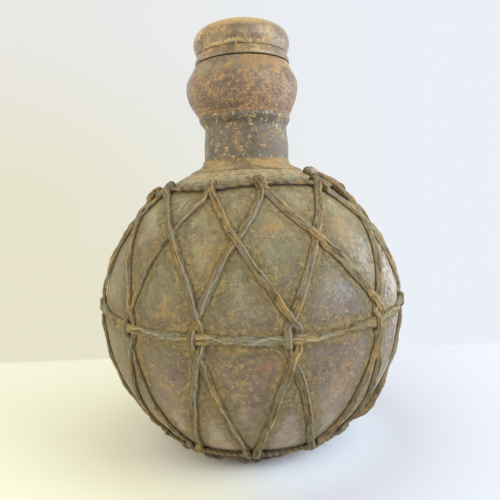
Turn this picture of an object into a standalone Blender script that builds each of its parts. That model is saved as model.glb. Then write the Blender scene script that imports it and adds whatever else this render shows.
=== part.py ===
# A globular water pot of beaten sheet iron with a waisted neck, a swelling above it and a
# lift-off domed lid, held in a net of rawhide thongs.
# Metres, +Z up. The origin is the middle of the flat base. Longitudes run from the front, -Y,
# towards +X, and latitudes rise from the girth.

import math

import bmesh
import bpy
import numpy as np
from mathutils import Vector

# Sheet and fits
sheet = 0.0020
touch_gap = 0.0003
plug_clearance = 0.0006

# Body: two bowls that lap at the girth, the lower one beaten flat to stand on
body_radius = 0.1500
flat_depth = 0.0140
lap_height = 0.0100
joggle_height = 0.0040

# Neck, from its foot inside the hole up: a straight run, a run that draws in to the waist, a
# flare and a bead
neck_radius = 0.0434
neck_foot = 0.0060
neck_straight_length = 0.0210
neck_waist_length = 0.0180
neck_flare_length = 0.0098
neck_bead_height = 0.0024
waist_depth = 0.0015
bead_swell = 0.0032

# Collar on the shoulder: a flange that sweeps up to a thin edge round the neck
collar_width = 0.0138
collar_edge = 0.0012
collar_lip = 0.0006
collar_fillet = 0.0056

# Swelling above the neck: how far it swells past the bead, draws in to its rim and turns in to
# the mouth
bulb_swell = 0.0102
bulb_draw = 0.0088
mouth_turn = 0.0080
bulb_lower_height = 0.0280
bulb_upper_height = 0.0232
rim_round = 0.0010
spigot_past_waist = 0.0020

# Lid: a ring about its plug, a seat above the ring and a cap that swells past the seat
lid_ring_wall = 0.0085
lid_ring_height = 0.0096
lid_seat_step = 0.0023
lid_swell = 0.0029
lid_height = 0.0338
plug_depth = 0.0140

# Thongs: their own section, and thinner where one lies across another
thong_width = 0.0066
thong_thickness = 0.0028
pressed_thickness = 0.0016
lift_run = 0.0042
thong_tail = 0.0016
crossing_margin = 0.0006
knot_margin = 0.0012

# Girth strap and the two rings that the thongs hang between
strap_width = 0.0076
strap_thickness = 0.0030
shoulder_ring_width = 0.0062
shoulder_ring_thickness = 0.0032
base_ring_width = 0.0070
base_ring_thickness = 0.0040

# Twist of two thongs about the strap, and how far each pair parts there
lens_gap = 0.0034
twist_rise = 0.0150
twist_drop = 0.0155
lens_shoulder = 0.0084

# Places of the knots, in degrees of longitude and latitude. Each list starts at the far left of
# the front and goes round once.
shoulder_longitudes = [-80, -57, -20, 7, 46, 70, 100, 130, 161, 191, 222, 252]
shoulder_latitudes = [52, 54, 53, 55, 54, 53, 53, 54, 52, 53, 54, 52]
girth_longitudes = [-75, -44, -17, 12, 46, 75, 105, 134, 165, 195, 226, 256]
girth_latitudes = [5, 2, 1, 0, 1, 3, 4, 3, 2, 3, 4, 5]
base_longitudes = [-65, -35, -3, 32, 57, 90, 121, 151, 182, 212, 241, 268]
base_latitude = -50

# Fineness of the round pieces
segments = 40
arc_steps = 8
neck_steps = 6
sweep_steps = 4
bulb_steps = 5
lid_ring_steps = 4
crease_angle = 35
ring_points = 44
route_steps = 400
least_step = 0.0025
most_step = 0.0150

# Outlines as shares: the bulb's rows are (share of the height above its belly, share of the
# drawing in), the lid's are (share of its height, share of its radius), and a thong's are
# (share of its width, share of its thickness).
bulb_upper_shares = [(0.25, 0.06), (0.50, 0.32), (0.75, 0.68)]
lid_outline_shares = [
    (0.108, 0.968),
    (0.280, 1.000),
    (0.474, 0.982),
    (0.655, 0.895),
    (0.785, 0.735),
    (0.905, 0.490),
]
thong_section_shares = [(-0.42, 0.0), (0.42, 0.0), (0.5, 0.6), (0.0, 1.0), (-0.5, 0.6)]
upper_cover_share = 1.05
lower_cover_share = 1.55
knot_cover_share = 1.50
lens_shoulder_share = 0.9
lens_gap_shares = [1.0, 0.7, 0.3, 0.9, 0.8, 0.8, 1.1, 1.0, 0.7, 1.0, 0.9, 1.1]

# How tautly each thong is drawn, above the girth and below it: at 1 it takes the shortest way
# over the globe, at 0 it falls evenly in latitude.
over_taut_shares = [
    (1.3, 1.0),
    (1.1, 1.3),
    (0.1, 0.2),
    (-0.2, 0.3),
    (0.5, 0.6),
    (0.7, 1.0),
    (0.9, 0.8),
    (0.6, 1.0),
    (1.0, 0.7),
    (0.8, 1.0),
    (0.7, 0.9),
    (1.0, 0.8),
]
under_taut_shares = [
    (0.8, 1.0),
    (0.7, 0.8),
    (0.8, 1.0),
    (0.3, 0.0),
    (0.8, 1.0),
    (0.2, 0.6),
    (0.8, 0.9),
    (1.0, 0.7),
    (0.7, 1.0),
    (0.9, 0.8),
    (1.0, 1.0),
    (0.8, 0.9),
]

# What the sizes above fix
girth_height = body_radius - flat_depth
hole_radius = neck_radius + touch_gap
collar_radius = hole_radius + collar_width
shoulder_height = math.sqrt(body_radius**2 - hole_radius**2)
neck_level = girth_height + shoulder_height
neck_waist_radius = neck_radius - waist_depth
neck_bead_radius = neck_radius + bead_swell
neck_waist_height = neck_straight_length + neck_waist_length
neck_length = neck_waist_height + neck_flare_length + neck_bead_height
bulb_level = neck_level + neck_length + touch_gap
bulb_height = bulb_lower_height + bulb_upper_height
bulb_radius = neck_bead_radius + bulb_swell
bulb_rim_radius = bulb_radius - bulb_draw
mouth_radius = bulb_rim_radius - mouth_turn
mouth_level = bulb_level + bulb_height
plug_radius = mouth_radius - plug_clearance
lid_bore = plug_radius + touch_gap
lid_ring_radius = lid_bore + lid_ring_wall
lid_seat_radius = lid_ring_radius - lid_seat_step
lid_radius = lid_seat_radius + lid_swell
crossing_lift = pressed_thickness + touch_gap


def turned(name, outline, level, closed):
    # A solid of revolution about Z, from its outline of (radius, height) points.
    shape = bmesh.new()
    points = [shape.verts.new((radius, 0, height)) for radius, height in outline]
    edges = [shape.edges.new(pair) for pair in zip(points, points[1:])]
    if closed:
        edges.append(shape.edges.new((points[-1], points[0])))
    bmesh.ops.spin(
        shape,
        geom=points + edges,
        cent=(0, 0, 0),
        axis=(0, 0, 1),
        angle=math.tau,
        steps=segments,
        use_merge=True,
    )
    bmesh.ops.remove_doubles(shape, verts=shape.verts, dist=touch_gap / segments)
    return solid(name, shape, level)


def solid(name, shape, level):
    bmesh.ops.recalc_face_normals(shape, faces=shape.faces)
    mesh = bpy.data.meshes.new(name)
    shape.to_mesh(mesh)
    shape.free()
    mesh.shade_smooth()
    mesh.set_sharp_from_angle(angle=math.radians(crease_angle))
    piece = bpy.data.objects.new(name, mesh)
    piece.location = (0, 0, level)
    bpy.context.collection.objects.link(piece)
    return piece


def finish(piece, colour, roughness, metallic):
    material = bpy.data.materials.new(piece.name)
    material.use_nodes = True
    shader = material.node_tree.nodes["Principled BSDF"]
    shader.inputs["Base Color"].default_value = (*colour, 1)
    shader.inputs["Roughness"].default_value = roughness
    shader.inputs["Metallic"].default_value = metallic
    piece.data.materials.append(material)


def slopes(places, values):
    # Slopes of a curve through the points that never overshoots them.
    runs = [b - a for a, b in zip(places, places[1:])]
    rates = [(b - a) / run for a, b, run in zip(values, values[1:], runs)]
    found = [rates[0]]
    for before, after in zip(rates, rates[1:]):
        turns = before * after <= 0
        found.append(0 if turns else 2 * before * after / (before + after))
    found.append(rates[-1])
    return found


def curve_value(places, values, tangents, place):
    # The curve's value at one place, by cubic steps between its points.
    index = 0
    while index < len(places) - 2 and place > places[index + 1]:
        index += 1
    run = places[index + 1] - places[index]
    share = (place - places[index]) / run
    back = 1 - share
    start = values[index] * back**2 * (1 + 2 * share)
    end = values[index + 1] * share**2 * (1 + 2 * back)
    lean = run * share * back * (tangents[index] * back - tangents[index + 1] * share)
    return start + end + lean


def sphere_arc(radius, low, high):
    # Points (radius, height) on a globe's outline between two latitudes.
    angles = [low + (high - low) * step / arc_steps for step in range(arc_steps + 1)]
    return [(radius * math.cos(angle), radius * math.sin(angle)) for angle in angles]


def curved(places, values, steps):
    # Points (value, place) along a smooth outline that is level at both its ends.
    tangents = slopes(places, values)
    tangents[0] = 0
    tangents[-1] = 0
    run = places[-1] - places[0]
    found = [places[0] + run * step / steps for step in range(steps + 1)]
    return [(curve_value(places, values, tangents, place), place) for place in found]


def lower_shell():
    inner_radius = body_radius - sheet
    lap_radius = inner_radius - touch_gap
    lap_angle = lap_height / body_radius
    outer = sphere_arc(body_radius, -math.asin(girth_height / body_radius), 0)
    lap_outer = sphere_arc(lap_radius, 0, lap_angle)[::arc_steps]
    lap_inner = sphere_arc(lap_radius - sheet, lap_angle, 0)[::arc_steps]
    low = -math.asin((girth_height - sheet) / inner_radius)
    inner = sphere_arc(inner_radius, -joggle_height / inner_radius, low)
    bottom = [(0, -girth_height)]
    floor = [(0, sheet - girth_height)]
    outline = bottom + outer + lap_outer + lap_inner + inner + floor
    return turned("lower_shell", outline, girth_height, closed=False)


def upper_shell():
    inner_radius = body_radius - sheet
    outer = sphere_arc(body_radius, touch_gap / body_radius, math.acos(hole_radius / body_radius))
    inner = sphere_arc(inner_radius, math.acos(hole_radius / inner_radius), lap_height / body_radius)
    seam = [(inner_radius, touch_gap)]
    return turned("upper_shell", outer + inner + seam, girth_height, closed=True)


def on_shoulder(radius, above):
    # The height over the neck's foot of a surface that lies this far above the globe.
    return math.sqrt((body_radius + above) ** 2 - radius**2) - shoulder_height


def neck_collar():
    top = touch_gap + collar_edge
    flange_start = hole_radius + collar_lip + collar_fillet
    outline = [
        (hole_radius, on_shoulder(hole_radius, touch_gap)),
        (collar_radius, on_shoulder(collar_radius, touch_gap)),
        (collar_radius, on_shoulder(collar_radius, top)),
        ((collar_radius + flange_start) / 2, on_shoulder((collar_radius + flange_start) / 2, top)),
    ]
    for step in range(sweep_steps + 1):
        turn = math.pi / 2 * step / sweep_steps
        radius = flange_start - collar_fillet * math.sin(turn)
        outline.append((radius, on_shoulder(radius, top) + collar_fillet * (1 - math.cos(turn))))
    outline.append((hole_radius, outline[-1][1]))
    return turned("neck_collar", outline, neck_level, closed=True)


def neck_tube():
    heights = [neck_straight_length, neck_waist_height, neck_length - neck_bead_height]
    upper = curved(heights, [neck_radius, neck_waist_radius, neck_bead_radius], neck_steps)
    outer = [(neck_radius, -neck_foot)] + upper + [(neck_bead_radius - touch_gap, neck_length)]
    inner = [(radius - sheet, height) for radius, height in reversed(outer)]
    return turned("neck_tube", outer + inner, neck_level, closed=True)


def neck_bulb():
    foot_radius = neck_bead_radius - touch_gap
    swell = bulb_radius - foot_radius
    lower = []
    for step in range(bulb_steps + 1):
        share = step / bulb_steps
        lower.append((foot_radius + swell * math.sin(math.pi / 2 * share), bulb_lower_height * share))
    upper = []
    for up, inward in bulb_upper_shares:
        upper.append((bulb_radius - bulb_draw * inward, bulb_lower_height + bulb_upper_height * up))
    lip = [(bulb_rim_radius, bulb_height - rim_round), (bulb_rim_radius - rim_round, bulb_height)]
    mouth = [(mouth_radius, bulb_height), (mouth_radius, bulb_height - sheet)]
    inside = [(radius - sheet, height) for radius, height in reversed(lower[1:] + upper)]
    spigot_radius = neck_waist_radius - sheet - touch_gap
    spigot_end = neck_waist_height - spigot_past_waist - neck_length - touch_gap
    spigot = [
        (foot_radius - sheet, sheet),
        (spigot_radius - sheet, sheet),
        (spigot_radius - sheet, spigot_end),
        (spigot_radius, spigot_end),
        (spigot_radius, 0),
    ]
    under_lip = [(bulb_rim_radius - sheet, bulb_height - sheet)]
    outline = lower + upper + lip + mouth + under_lip + inside + spigot
    return turned("neck_bulb", outline, bulb_level, closed=True)


def lid_ring():
    outer = curved([rim_round, lid_ring_height], [lid_ring_radius, lid_seat_radius], lid_ring_steps)
    outline = [(lid_bore, 0), (lid_ring_radius - rim_round, 0)] + outer + [(lid_bore, lid_ring_height)]
    return turned("lid_ring", outline, touch_gap, closed=True)


def lid_cap():
    plug_end = -(plug_depth + lid_ring_height + 2 * touch_gap)
    rows = [(lid_radius * reach, lid_height * up) for up, reach in lid_outline_shares]
    inner_radius = lid_radius - sheet
    inner_height = lid_height - 2 * sheet
    hollow = [(inner_radius * reach, sheet + inner_height * up) for up, reach in lid_outline_shares]
    inner = [(0, lid_height - sheet)] + hollow[::-1] + [(lid_seat_radius - sheet, sheet)]
    plug = [
        (plug_radius - sheet, sheet),
        (plug_radius - sheet, plug_end),
        (plug_radius, plug_end),
        (plug_radius, 0),
    ]
    outer = [(lid_seat_radius, 0)] + rows + [(0, lid_height)]
    return turned("lid_cap", inner + plug + outer, lid_ring_height + 2 * touch_gap, closed=False)


def globe_point(longitude, latitude, height):
    # A point this far above the shell, measured from the globe's centre.
    reach = (body_radius + height) * math.cos(latitude)
    rise = (body_radius + height) * math.sin(latitude)
    return Vector((reach * math.sin(longitude), -reach * math.cos(longitude), rise))


def laid(name, rows, closed):
    # A thong laid on the globe, lofted through rows of (longitude, latitude, height, width,
    # thickness).
    shape = bmesh.new()
    centres = [globe_point(*row[:3]) for row in rows]
    count = len(rows)
    rings = []
    for index, (longitude, latitude, height, width, thickness) in enumerate(rows):
        before = centres[index - 1] if index or closed else centres[index]
        after = centres[(index + 1) % count] if index < count - 1 or closed else centres[index]
        outward = centres[index].normalized()
        along = (after - before).normalized()
        side = along.cross(outward).normalized()
        ring = [
            shape.verts.new(centres[index] + side * width * across + outward * thickness * up)
            for across, up in thong_section_shares
        ]
        rings.append(ring)
    pairs = list(zip(rings, rings[1:]))
    if closed:
        pairs.append((rings[-1], rings[0]))
    else:
        shape.faces.new(rings[0])
        shape.faces.new(reversed(rings[-1]))
    for near, far in pairs:
        for corner in range(len(near)):
            shape.faces.new((near[corner - 1], near[corner], far[corner], far[corner - 1]))
    return solid(name, shape, girth_height)


def around(values, index):
    # A knot's longitude, counting on past the last one.
    return math.radians(values[index % len(values)] + 360 * (index // len(values)))


def bump(run, middle, flat, height):
    # A lift that is level over its flat and eases down on both sides.
    beyond = (abs(run - middle) - flat) / lift_run
    return height * (1 + math.cos(math.pi * min(max(beyond, 0), 1))) / 2


def drawn_taut(falls, start, end):
    # How far the shortest way between two points of the globe lies beside the way that falls
    # evenly between them, in longitude at each fall.
    first, last = globe_point(start[1], start[0], 0), globe_point(end[1], end[0], 0)
    turn = first.angle(last)
    arc_falls = []
    arc_longitudes = []
    for share in np.linspace(0, 1, route_steps):
        point = (first * math.sin(turn * (1 - share)) + last * math.sin(turn * share)) / math.sin(turn)
        arc_falls.append(-math.asin(point.z / body_radius))
        arc_longitudes.append(start[1] + math.remainder(math.atan2(point.x, -point.y) - start[1], math.tau))
    shortest = np.interp(falls, arc_falls, arc_longitudes)
    even = np.interp(falls, [arc_falls[0], arc_falls[-1]], [arc_longitudes[0], arc_longitudes[-1]])
    return shortest - even


def route(stations, taut):
    # A thong's way down through its stations (latitude, longitude), as columns of the fall
    # in latitude, the longitude and the length run so far. It bends at the rings, where its
    # straight tails begin.
    places = [-latitude for latitude, longitude in stations]
    values = [longitude for latitude, longitude in stations]
    tangents = slopes(places[1:-1], values[1:-1])
    falls = np.linspace(places[0], places[-1], route_steps)
    longitudes = np.interp(falls, places, values)
    for index, fall in enumerate(falls):
        if places[1] < fall < places[-2]:
            longitudes[index] = curve_value(places[1:-1], values[1:-1], tangents, fall)
    for share, start, end in ((taut[0], 1, 2), (taut[1], -3, -2)):
        longitudes += share * drawn_taut(falls, stations[start], stations[end])
    middles = (falls[1:] + falls[:-1]) / 2
    steps = np.hypot(np.diff(falls), np.cos(middles) * np.diff(longitudes))
    runs = np.concatenate([[0], np.cumsum(steps)]) * body_radius
    return {"falls": falls, "longitudes": longitudes, "runs": runs}


def run_at(way, latitude):
    return float(np.interp(-latitude, way["falls"], way["runs"]))


def past_band(way, latitude, half):
    # How far a thong runs on its way down before all its width is clear of half a band.
    run = run_at(way, latitude - half / body_radius) - run_at(way, latitude)
    return run + thong_width / 2 * math.sqrt(max((run / half) ** 2 - 1, 0))


def meeting(over, under):
    # The latitude at which two thongs first cross on their way down.
    first = max(over["falls"][0], under["falls"][0])
    falls = np.linspace(first, -twist_rise / body_radius, route_steps)
    left = np.interp(falls, over["falls"], over["longitudes"])
    right = np.interp(falls, under["falls"], under["longitudes"])
    return -float(np.interp(0, left - right, falls))


def beside(latitude, knot, lean):
    # Where a thong lies at a knot that it shares with one that leans the other way.
    return latitude, knot + lean * (thong_width + touch_gap) / 2 / (body_radius * math.cos(latitude))


def lens_half(node):
    # How far each of a knot's two thongs lies from the knot's middle, where they part.
    return (thong_width + lens_gap * lens_gap_shares[node % len(lens_gap_shares)]) / 2


def thong_route(index, node, base, lean, taut):
    # From its knot on the shoulder ring, round the girth strap on the side that it leans to, to
    # the base.
    top = math.radians(shoulder_latitudes[index % len(shoulder_latitudes)])
    girth = math.radians(girth_latitudes[node % len(girth_latitudes)])
    foot = math.radians(base_latitude)
    start = around(shoulder_longitudes, index)
    middle = around(girth_longitudes, node)
    end = around(base_longitudes, base)
    start_tail = (shoulder_ring_width / 2 + thong_tail) / body_radius
    end_tail = (base_ring_width / 2 + thong_tail) / body_radius
    bulge = lean * lens_half(node) / body_radius
    shoulder = lens_shoulder / body_radius
    stations = [
        (top + start_tail, start),
        (top, start),
        (girth + twist_rise / body_radius, middle),
        (girth + shoulder, middle + bulge * lens_shoulder_share),
        (girth, middle + bulge),
        (girth - shoulder, middle + bulge * lens_shoulder_share),
        (girth - twist_drop / body_radius, middle),
        beside(foot, end, lean),
        beside(foot - end_tail, end, lean),
    ]
    strap_latitude = hoop_latitude(girth_longitudes, girth_latitudes)(middle + bulge)
    return {**route(stations, taut), "top": top, "girth": girth, "strap": strap_latitude, "foot": foot}


def sample_runs(marks, length):
    # Places along a thong: its marks, and more where two marks lie far apart.
    found = [0]
    for mark in sorted(marks) + [length]:
        if mark - found[-1] < least_step or mark > length:
            continue
        parts = math.ceil((mark - found[-1]) / most_step)
        start = found[-1]
        found += [start + (mark - start) * part / parts for part in range(1, parts + 1)]
    if length - found[-1] > 0:
        found[-1] = length
    return found


def thong(name, way, crossings):
    # crossings: rows of (run, flat half, lift)
    marks = []
    for middle, flat, lift in crossings:
        marks += [middle - flat, middle + flat]
        if lift:
            marks += [middle - flat - lift_run, middle + flat + lift_run]
    rows = []
    for run in sample_runs(marks, float(way["runs"][-1])):
        fall = float(np.interp(run, way["runs"], way["falls"]))
        longitude = float(np.interp(run, way["runs"], way["longitudes"]))
        height = touch_gap + max(bump(run, middle, flat, lift) for middle, flat, lift in crossings)
        press = thong_thickness - pressed_thickness
        pressed = max(bump(run, middle, flat, press) for middle, flat, lift in crossings)
        rows.append((longitude, -fall, height, thong_width, thong_thickness - pressed))
    return laid(name, rows, closed=False)


def net():
    count = len(shoulder_longitudes)
    cover = upper_cover_share * thong_width
    long_cover = (lower_cover_share + upper_cover_share) * thong_width / 2
    over = []
    under = []
    for index in range(count):
        over.append(thong_route(index, index + 1, index, 1, over_taut_shares[index]))
        under.append(thong_route(index, index - 1, index - 1, -1, under_taut_shares[index]))
    ring_flat = shoulder_ring_width / 2 + thong_tail
    knot_cover = knot_cover_share * thong_width
    strap_flat = strap_width / 2 + crossing_margin
    base_flat = base_ring_width / 2 + thong_tail
    ring_lift = shoulder_ring_thickness + touch_gap
    base_lift = base_ring_thickness + touch_gap
    pieces = []
    for index in range(count):
        knot_flat = max(past_band(way, way["top"], ring_flat) for way in (over[index], under[index]))
        for kind, ways, partner in (("over", over, index + 1), ("under", under, index - 1)):
            way = ways[index]
            other = (under if kind == "over" else over)[partner % count]
            shift = math.tau * (partner // count)
            other = {**other, "longitudes": other["longitudes"] + shift}
            pair = (way, other) if kind == "over" else (other, way)
            above = crossing_lift if kind == "over" else 0
            strap_lift = 0 if kind == "over" else 2 * crossing_lift
            top_run = run_at(way, way["top"])
            lower_crossing = run_at(way, way["girth"] - twist_drop / body_radius)
            if kind == "over":
                knot = [(top_run, knot_flat + knot_margin, ring_lift + above), (top_run, knot_cover, above)]
            else:
                knot = [(top_run, knot_flat, ring_lift)]
            crossings = knot + [
                (run_at(way, meeting(*pair)), cover, above),
                (run_at(way, way["girth"] + twist_rise / body_radius), cover, above),
                (run_at(way, way["strap"]), strap_flat, strap_lift),
                (lower_crossing + long_cover - cover, long_cover, above),
                (run_at(way, way["foot"]), base_flat, base_lift),
            ]
            pieces.append(thong(f"{kind}_thong_{index + 1:02d}", way, crossings))
    return pieces


def hoop_latitude(longitudes, latitudes):
    # The latitude of a hoop through its knots, as a function of the longitude.
    wrapped = len(longitudes)
    places = [around(longitudes, index) for index in range(-2, wrapped + 3)]
    values = [math.radians(latitudes[index % wrapped]) for index in range(-2, wrapped + 3)]
    tangents = slopes(places, values)
    return lambda longitude: curve_value(places, values, tangents, longitude)


def shoulder_ring():
    latitude = hoop_latitude(shoulder_longitudes, shoulder_latitudes)
    first = around(shoulder_longitudes, 0)
    turns = [first + math.tau * step / ring_points for step in range(ring_points)]
    size = (touch_gap, shoulder_ring_width, shoulder_ring_thickness)
    return laid("shoulder_ring", [(turn, latitude(turn), *size) for turn in turns], closed=True)


def base_ring():
    turns = [math.tau * step / ring_points for step in range(ring_points)]
    size = (touch_gap, base_ring_width, base_ring_thickness)
    latitude = math.radians(base_latitude)
    return laid("base_ring", [(turn, latitude, *size) for turn in turns], closed=True)


def girth_strap():
    # Level on the shell between the knots, and lifted over the thong that passes behind it.
    latitude = hoop_latitude(girth_longitudes, girth_latitudes)
    clear = thong_width / 2 + touch_gap
    press = strap_thickness - pressed_thickness
    rows = []
    for index in range(len(girth_longitudes)):
        knot = around(girth_longitudes, index)
        following = around(girth_longitudes, index + 1)
        span = body_radius * (following - knot)
        flats = [(0, lens_half(index) + clear), (span, lens_half(index + 1) + clear)]
        (start, near), (end, far) = flats
        marks = [near, near + lift_run, span - far - lift_run, span - far]
        for offset in sample_runs(marks, span)[:-1]:
            turn = knot + offset / body_radius
            lifted = max(bump(offset, end, flat, crossing_lift) for end, flat in flats)
            pressed = max(bump(offset, end, flat, press) for end, flat in flats)
            thickness = strap_thickness - pressed
            rows.append((turn, latitude(turn), touch_gap + lifted, strap_width, thickness))
    return laid("girth_strap", rows, closed=True)


def lid_group(pieces):
    # The lid's pieces hang from an empty on the line that the lid lifts along.
    axis = bpy.data.objects.new("lid_axis", None)
    axis.location = (0, 0, mouth_level)
    bpy.context.collection.objects.link(axis)
    for piece in pieces:
        piece.parent = axis


for thing in list(bpy.data.objects):
    bpy.data.objects.remove(thing)

finish(lower_shell(), (0.150, 0.122, 0.085), 0.75, 0.35)
finish(upper_shell(), (0.165, 0.138, 0.080), 0.75, 0.30)
finish(neck_collar(), (0.240, 0.195, 0.098), 0.80, 0.25)
finish(neck_tube(), (0.145, 0.123, 0.086), 0.60, 0.45)
finish(neck_bulb(), (0.230, 0.140, 0.070), 0.75, 0.30)

cap = lid_cap()
ring = lid_ring()
finish(cap, (0.260, 0.200, 0.100), 0.70, 0.35)
finish(ring, (0.260, 0.200, 0.100), 0.70, 0.35)
lid_group([cap, ring])

finish(shoulder_ring(), (0.100, 0.080, 0.050), 0.90, 0.0)
finish(girth_strap(), (0.200, 0.160, 0.085), 0.85, 0.0)
finish(base_ring(), (0.100, 0.080, 0.050), 0.90, 0.0)
for piece in net():
    finish(piece, (0.190, 0.150, 0.075), 0.85, 0.0)
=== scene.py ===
# How the iron water pot and its net of rawhide thongs look. Metres, +Z up, the front at -Y.
import math
import random

import bmesh
import bpy
import numpy as np
from mathutils import Matrix, Vector, kdtree


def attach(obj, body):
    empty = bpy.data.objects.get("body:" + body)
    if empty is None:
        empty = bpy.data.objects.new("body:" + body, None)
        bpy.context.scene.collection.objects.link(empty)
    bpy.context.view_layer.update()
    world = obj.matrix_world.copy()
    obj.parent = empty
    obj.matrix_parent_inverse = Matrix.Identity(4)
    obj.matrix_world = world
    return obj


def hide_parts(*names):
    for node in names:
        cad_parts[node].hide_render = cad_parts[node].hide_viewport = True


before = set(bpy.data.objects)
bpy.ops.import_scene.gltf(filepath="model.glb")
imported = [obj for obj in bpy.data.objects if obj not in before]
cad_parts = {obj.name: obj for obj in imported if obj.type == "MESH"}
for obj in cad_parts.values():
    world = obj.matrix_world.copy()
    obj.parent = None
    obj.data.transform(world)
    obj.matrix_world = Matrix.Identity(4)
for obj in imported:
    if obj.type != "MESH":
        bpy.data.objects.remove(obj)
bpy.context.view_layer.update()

bpy.ops.object.select_all(action="DESELECT")
print("frame loaded")


# Node tools. Most find their node tree from a socket that they are given
def shade(tone):
    # a colour as a painter's 0-255 values, turned into the scene's linear ones
    return (*[((value / 255 + 0.055) / 1.055) ** 2.4 for value in tone], 1)


def plug(sockets, values):
    # each named socket gets its value, or a link where the value comes out of another node
    for key, value in values.items():
        if isinstance(value, bpy.types.NodeSocket):
            sockets[key].id_data.links.new(value, sockets[key])
        else:
            sockets[key].default_value = value


def addNode(tree, kind, inputs=None, **settings):
    made = tree.nodes.new("ShaderNode" + kind)
    for key, value in settings.items():
        setattr(made, key, value)
    plug(made.inputs, inputs or {})
    return made


def treeOf(*values):
    return next(value.id_data for value in values if isinstance(value, bpy.types.NodeSocket))


def maths(operation, first, second=0.0, clamp=False):
    inputs = {0: first, 1: second}
    return addNode(treeOf(first, second), "Math", inputs, operation=operation, use_clamp=clamp).outputs[0]


def times(first, second, clamp=False):
    return maths("MULTIPLY", first, second, clamp)


def plus(first, second):
    return maths("ADD", first, second)


def less(first, second):
    return maths("SUBTRACT", first, second)


def vectors(operation, first, second=(0, 0, 0), output=0):
    return addNode(first.id_data, "VectorMath", {0: first, 1: second}, operation=operation).outputs[output]


def axisOf(vector, axis):
    return addNode(vector.id_data, "SeparateXYZ", {0: vector}).outputs[axis]


def attributeOf(tree, label):
    return addNode(tree, "Attribute", attribute_name=label).outputs["Fac"]


def spread(value, low, high, start=0.0, end=1.0):
    # eases a value between two limits
    inputs = {"Value": value, "From Min": low, "From Max": high, "To Min": start, "To Max": end}
    return addNode(value.id_data, "MapRange", inputs, interpolation_type="SMOOTHSTEP").outputs["Result"]


def mixed(share, first, second, blend="MIX"):
    inputs = {0: share, 6: first, 7: second}
    return addNode(treeOf(share, first), "Mix", inputs, data_type="RGBA", blend_type=blend).outputs[2]


def between(share, first, second):
    return addNode(share.id_data, "Mix", {0: share, 2: first, 3: second}, data_type="FLOAT").outputs[0]


def grain(position, scale, detail, rough, distortion, shift):
    # four-dimensional noise, so that each use takes its own slice
    inputs = {"Vector": position, "W": shift, "Scale": scale, "Detail": detail, "Roughness": rough,
              "Distortion": distortion}
    return addNode(position.id_data, "TexNoise", inputs, noise_dimensions="4D").outputs["Fac"]


def aboutZero(noise, reach):
    # noise that swings either way from zero
    return times(less(noise, 0.5), reach)


# Effects that several finishes share
socketKinds = {"Position": "Vector", "Along": "Vector", "Place": "Vector", "Reach": "Vector",
               "Dark": "Color", "Middle": "Color", "Light": "Color", "Color": "Color"}


def newGroup(name, inputs, outputs):
    # every effect also takes a position and a shift, which picks its slice of the noise
    group = bpy.data.node_groups.new(name, "ShaderNodeTree")
    for side, labels in (("INPUT", ["Position", "Shift"] + inputs), ("OUTPUT", outputs)):
        for label in labels:
            kind = "NodeSocket" + socketKinds.get(label, "Float")
            group.interface.new_socket(name=label, in_out=side, socket_type=kind)
    return group, group.nodes.new("NodeGroupInput").outputs, group.nodes.new("NodeGroupOutput").inputs


def useGroup(group, position, shift, **inputs):
    made = position.id_data.nodes.new("ShaderNodeGroup")
    made.node_tree = group
    plug(made.inputs, {"Position": position, "Shift": shift, **inputs})
    return made.outputs


def buildPatina():
    # cloudy weathering of old iron in three tones, from broad clouds down to grit
    inputs = ["Scale", "Dark", "Middle", "Light"]
    group, given, result = newGroup("patina", inputs, ["Color", "Clouds", "Grit"])
    position, scale, shift = given["Position"], given["Scale"], given["Shift"]
    broad = grain(position, scale, 3, 0.6, 0.4, shift)
    patchy = grain(position, times(scale, 5), 4, 0.7, 0.5, shift)
    grit = grain(position, 800, 3, 0.8, 0.0, shift)
    clouds = plus(plus(times(broad, 0.45), times(patchy, 0.40)), times(grit, 0.15))
    low = mixed(spread(clouds, 0.40, 0.52), given["Dark"], given["Middle"])
    tone = mixed(spread(clouds, 0.50, 0.62), low, given["Light"])
    speckle = plus(times(grit, 3.8), -0.8)
    plug(result, {"Color": mixed(0.75, tone, speckle, "MULTIPLY"), "Clouds": clouds, "Grit": grit})
    return group


def buildFlecks():
    # short crooked threads of rust, thick in some places and missing in others
    group, given, result = newGroup("rustFlecks", ["Scale", "Amount"], ["Mask"])
    position, scale, shift = given["Position"], given["Scale"], given["Shift"]
    threads = grain(position, scale, 2, 0.45, 0.9, shift)
    line = spread(maths("ABSOLUTE", less(threads, 0.5)), 0.050, 0.022)
    breaks = grain(position, times(scale, 0.7), 1, 0.5, 0.0, plus(shift, 7))
    region = grain(position, times(scale, 0.10), 3, 0.6, 0.0, plus(shift, 3))
    present = plus(times(region, 0.45), times(breaks, 0.55))
    limit = less(0.66, times(given["Amount"], 0.3))
    plug(result, {"Mask": times(line, spread(less(present, limit), 0.0, 0.03))})
    return group


def buildBloom():
    # ragged blotches of rust or dried dirt
    group, given, result = newGroup("rustBloom", ["Scale", "Amount"], ["Mask"])
    position, scale, shift = given["Position"], given["Scale"], given["Shift"]
    blots = grain(position, scale, 7, 0.78, 0.3, shift)
    region = grain(position, times(scale, 0.16), 2, 0.6, 0.0, plus(shift, 5))
    present = plus(times(region, 0.4), times(blots, 0.6))
    limit = less(0.60, times(given["Amount"], 0.16))
    plug(result, {"Mask": spread(less(present, limit), 0.0, 0.06)})
    return group


def buildDustAndBounce():
    # a mask by which way a face looks, worn through in places: where faces look up it is settled dust; with
    # its limits turned to faces that look down it is painted light bounced up from the floor
    group, given, result = newGroup("facingDustAndBounce", ["Low", "High"], ["Mask"])
    facing = axisOf(addNode(group, "NewGeometry").outputs["Normal"], "Z")
    uneven = aboutZero(grain(given["Position"], 42, 6, 0.72, 0.4, given["Shift"]), 1.3)
    plug(result, {"Mask": spread(plus(facing, uneven), given["Low"], given["High"])})
    return group


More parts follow.
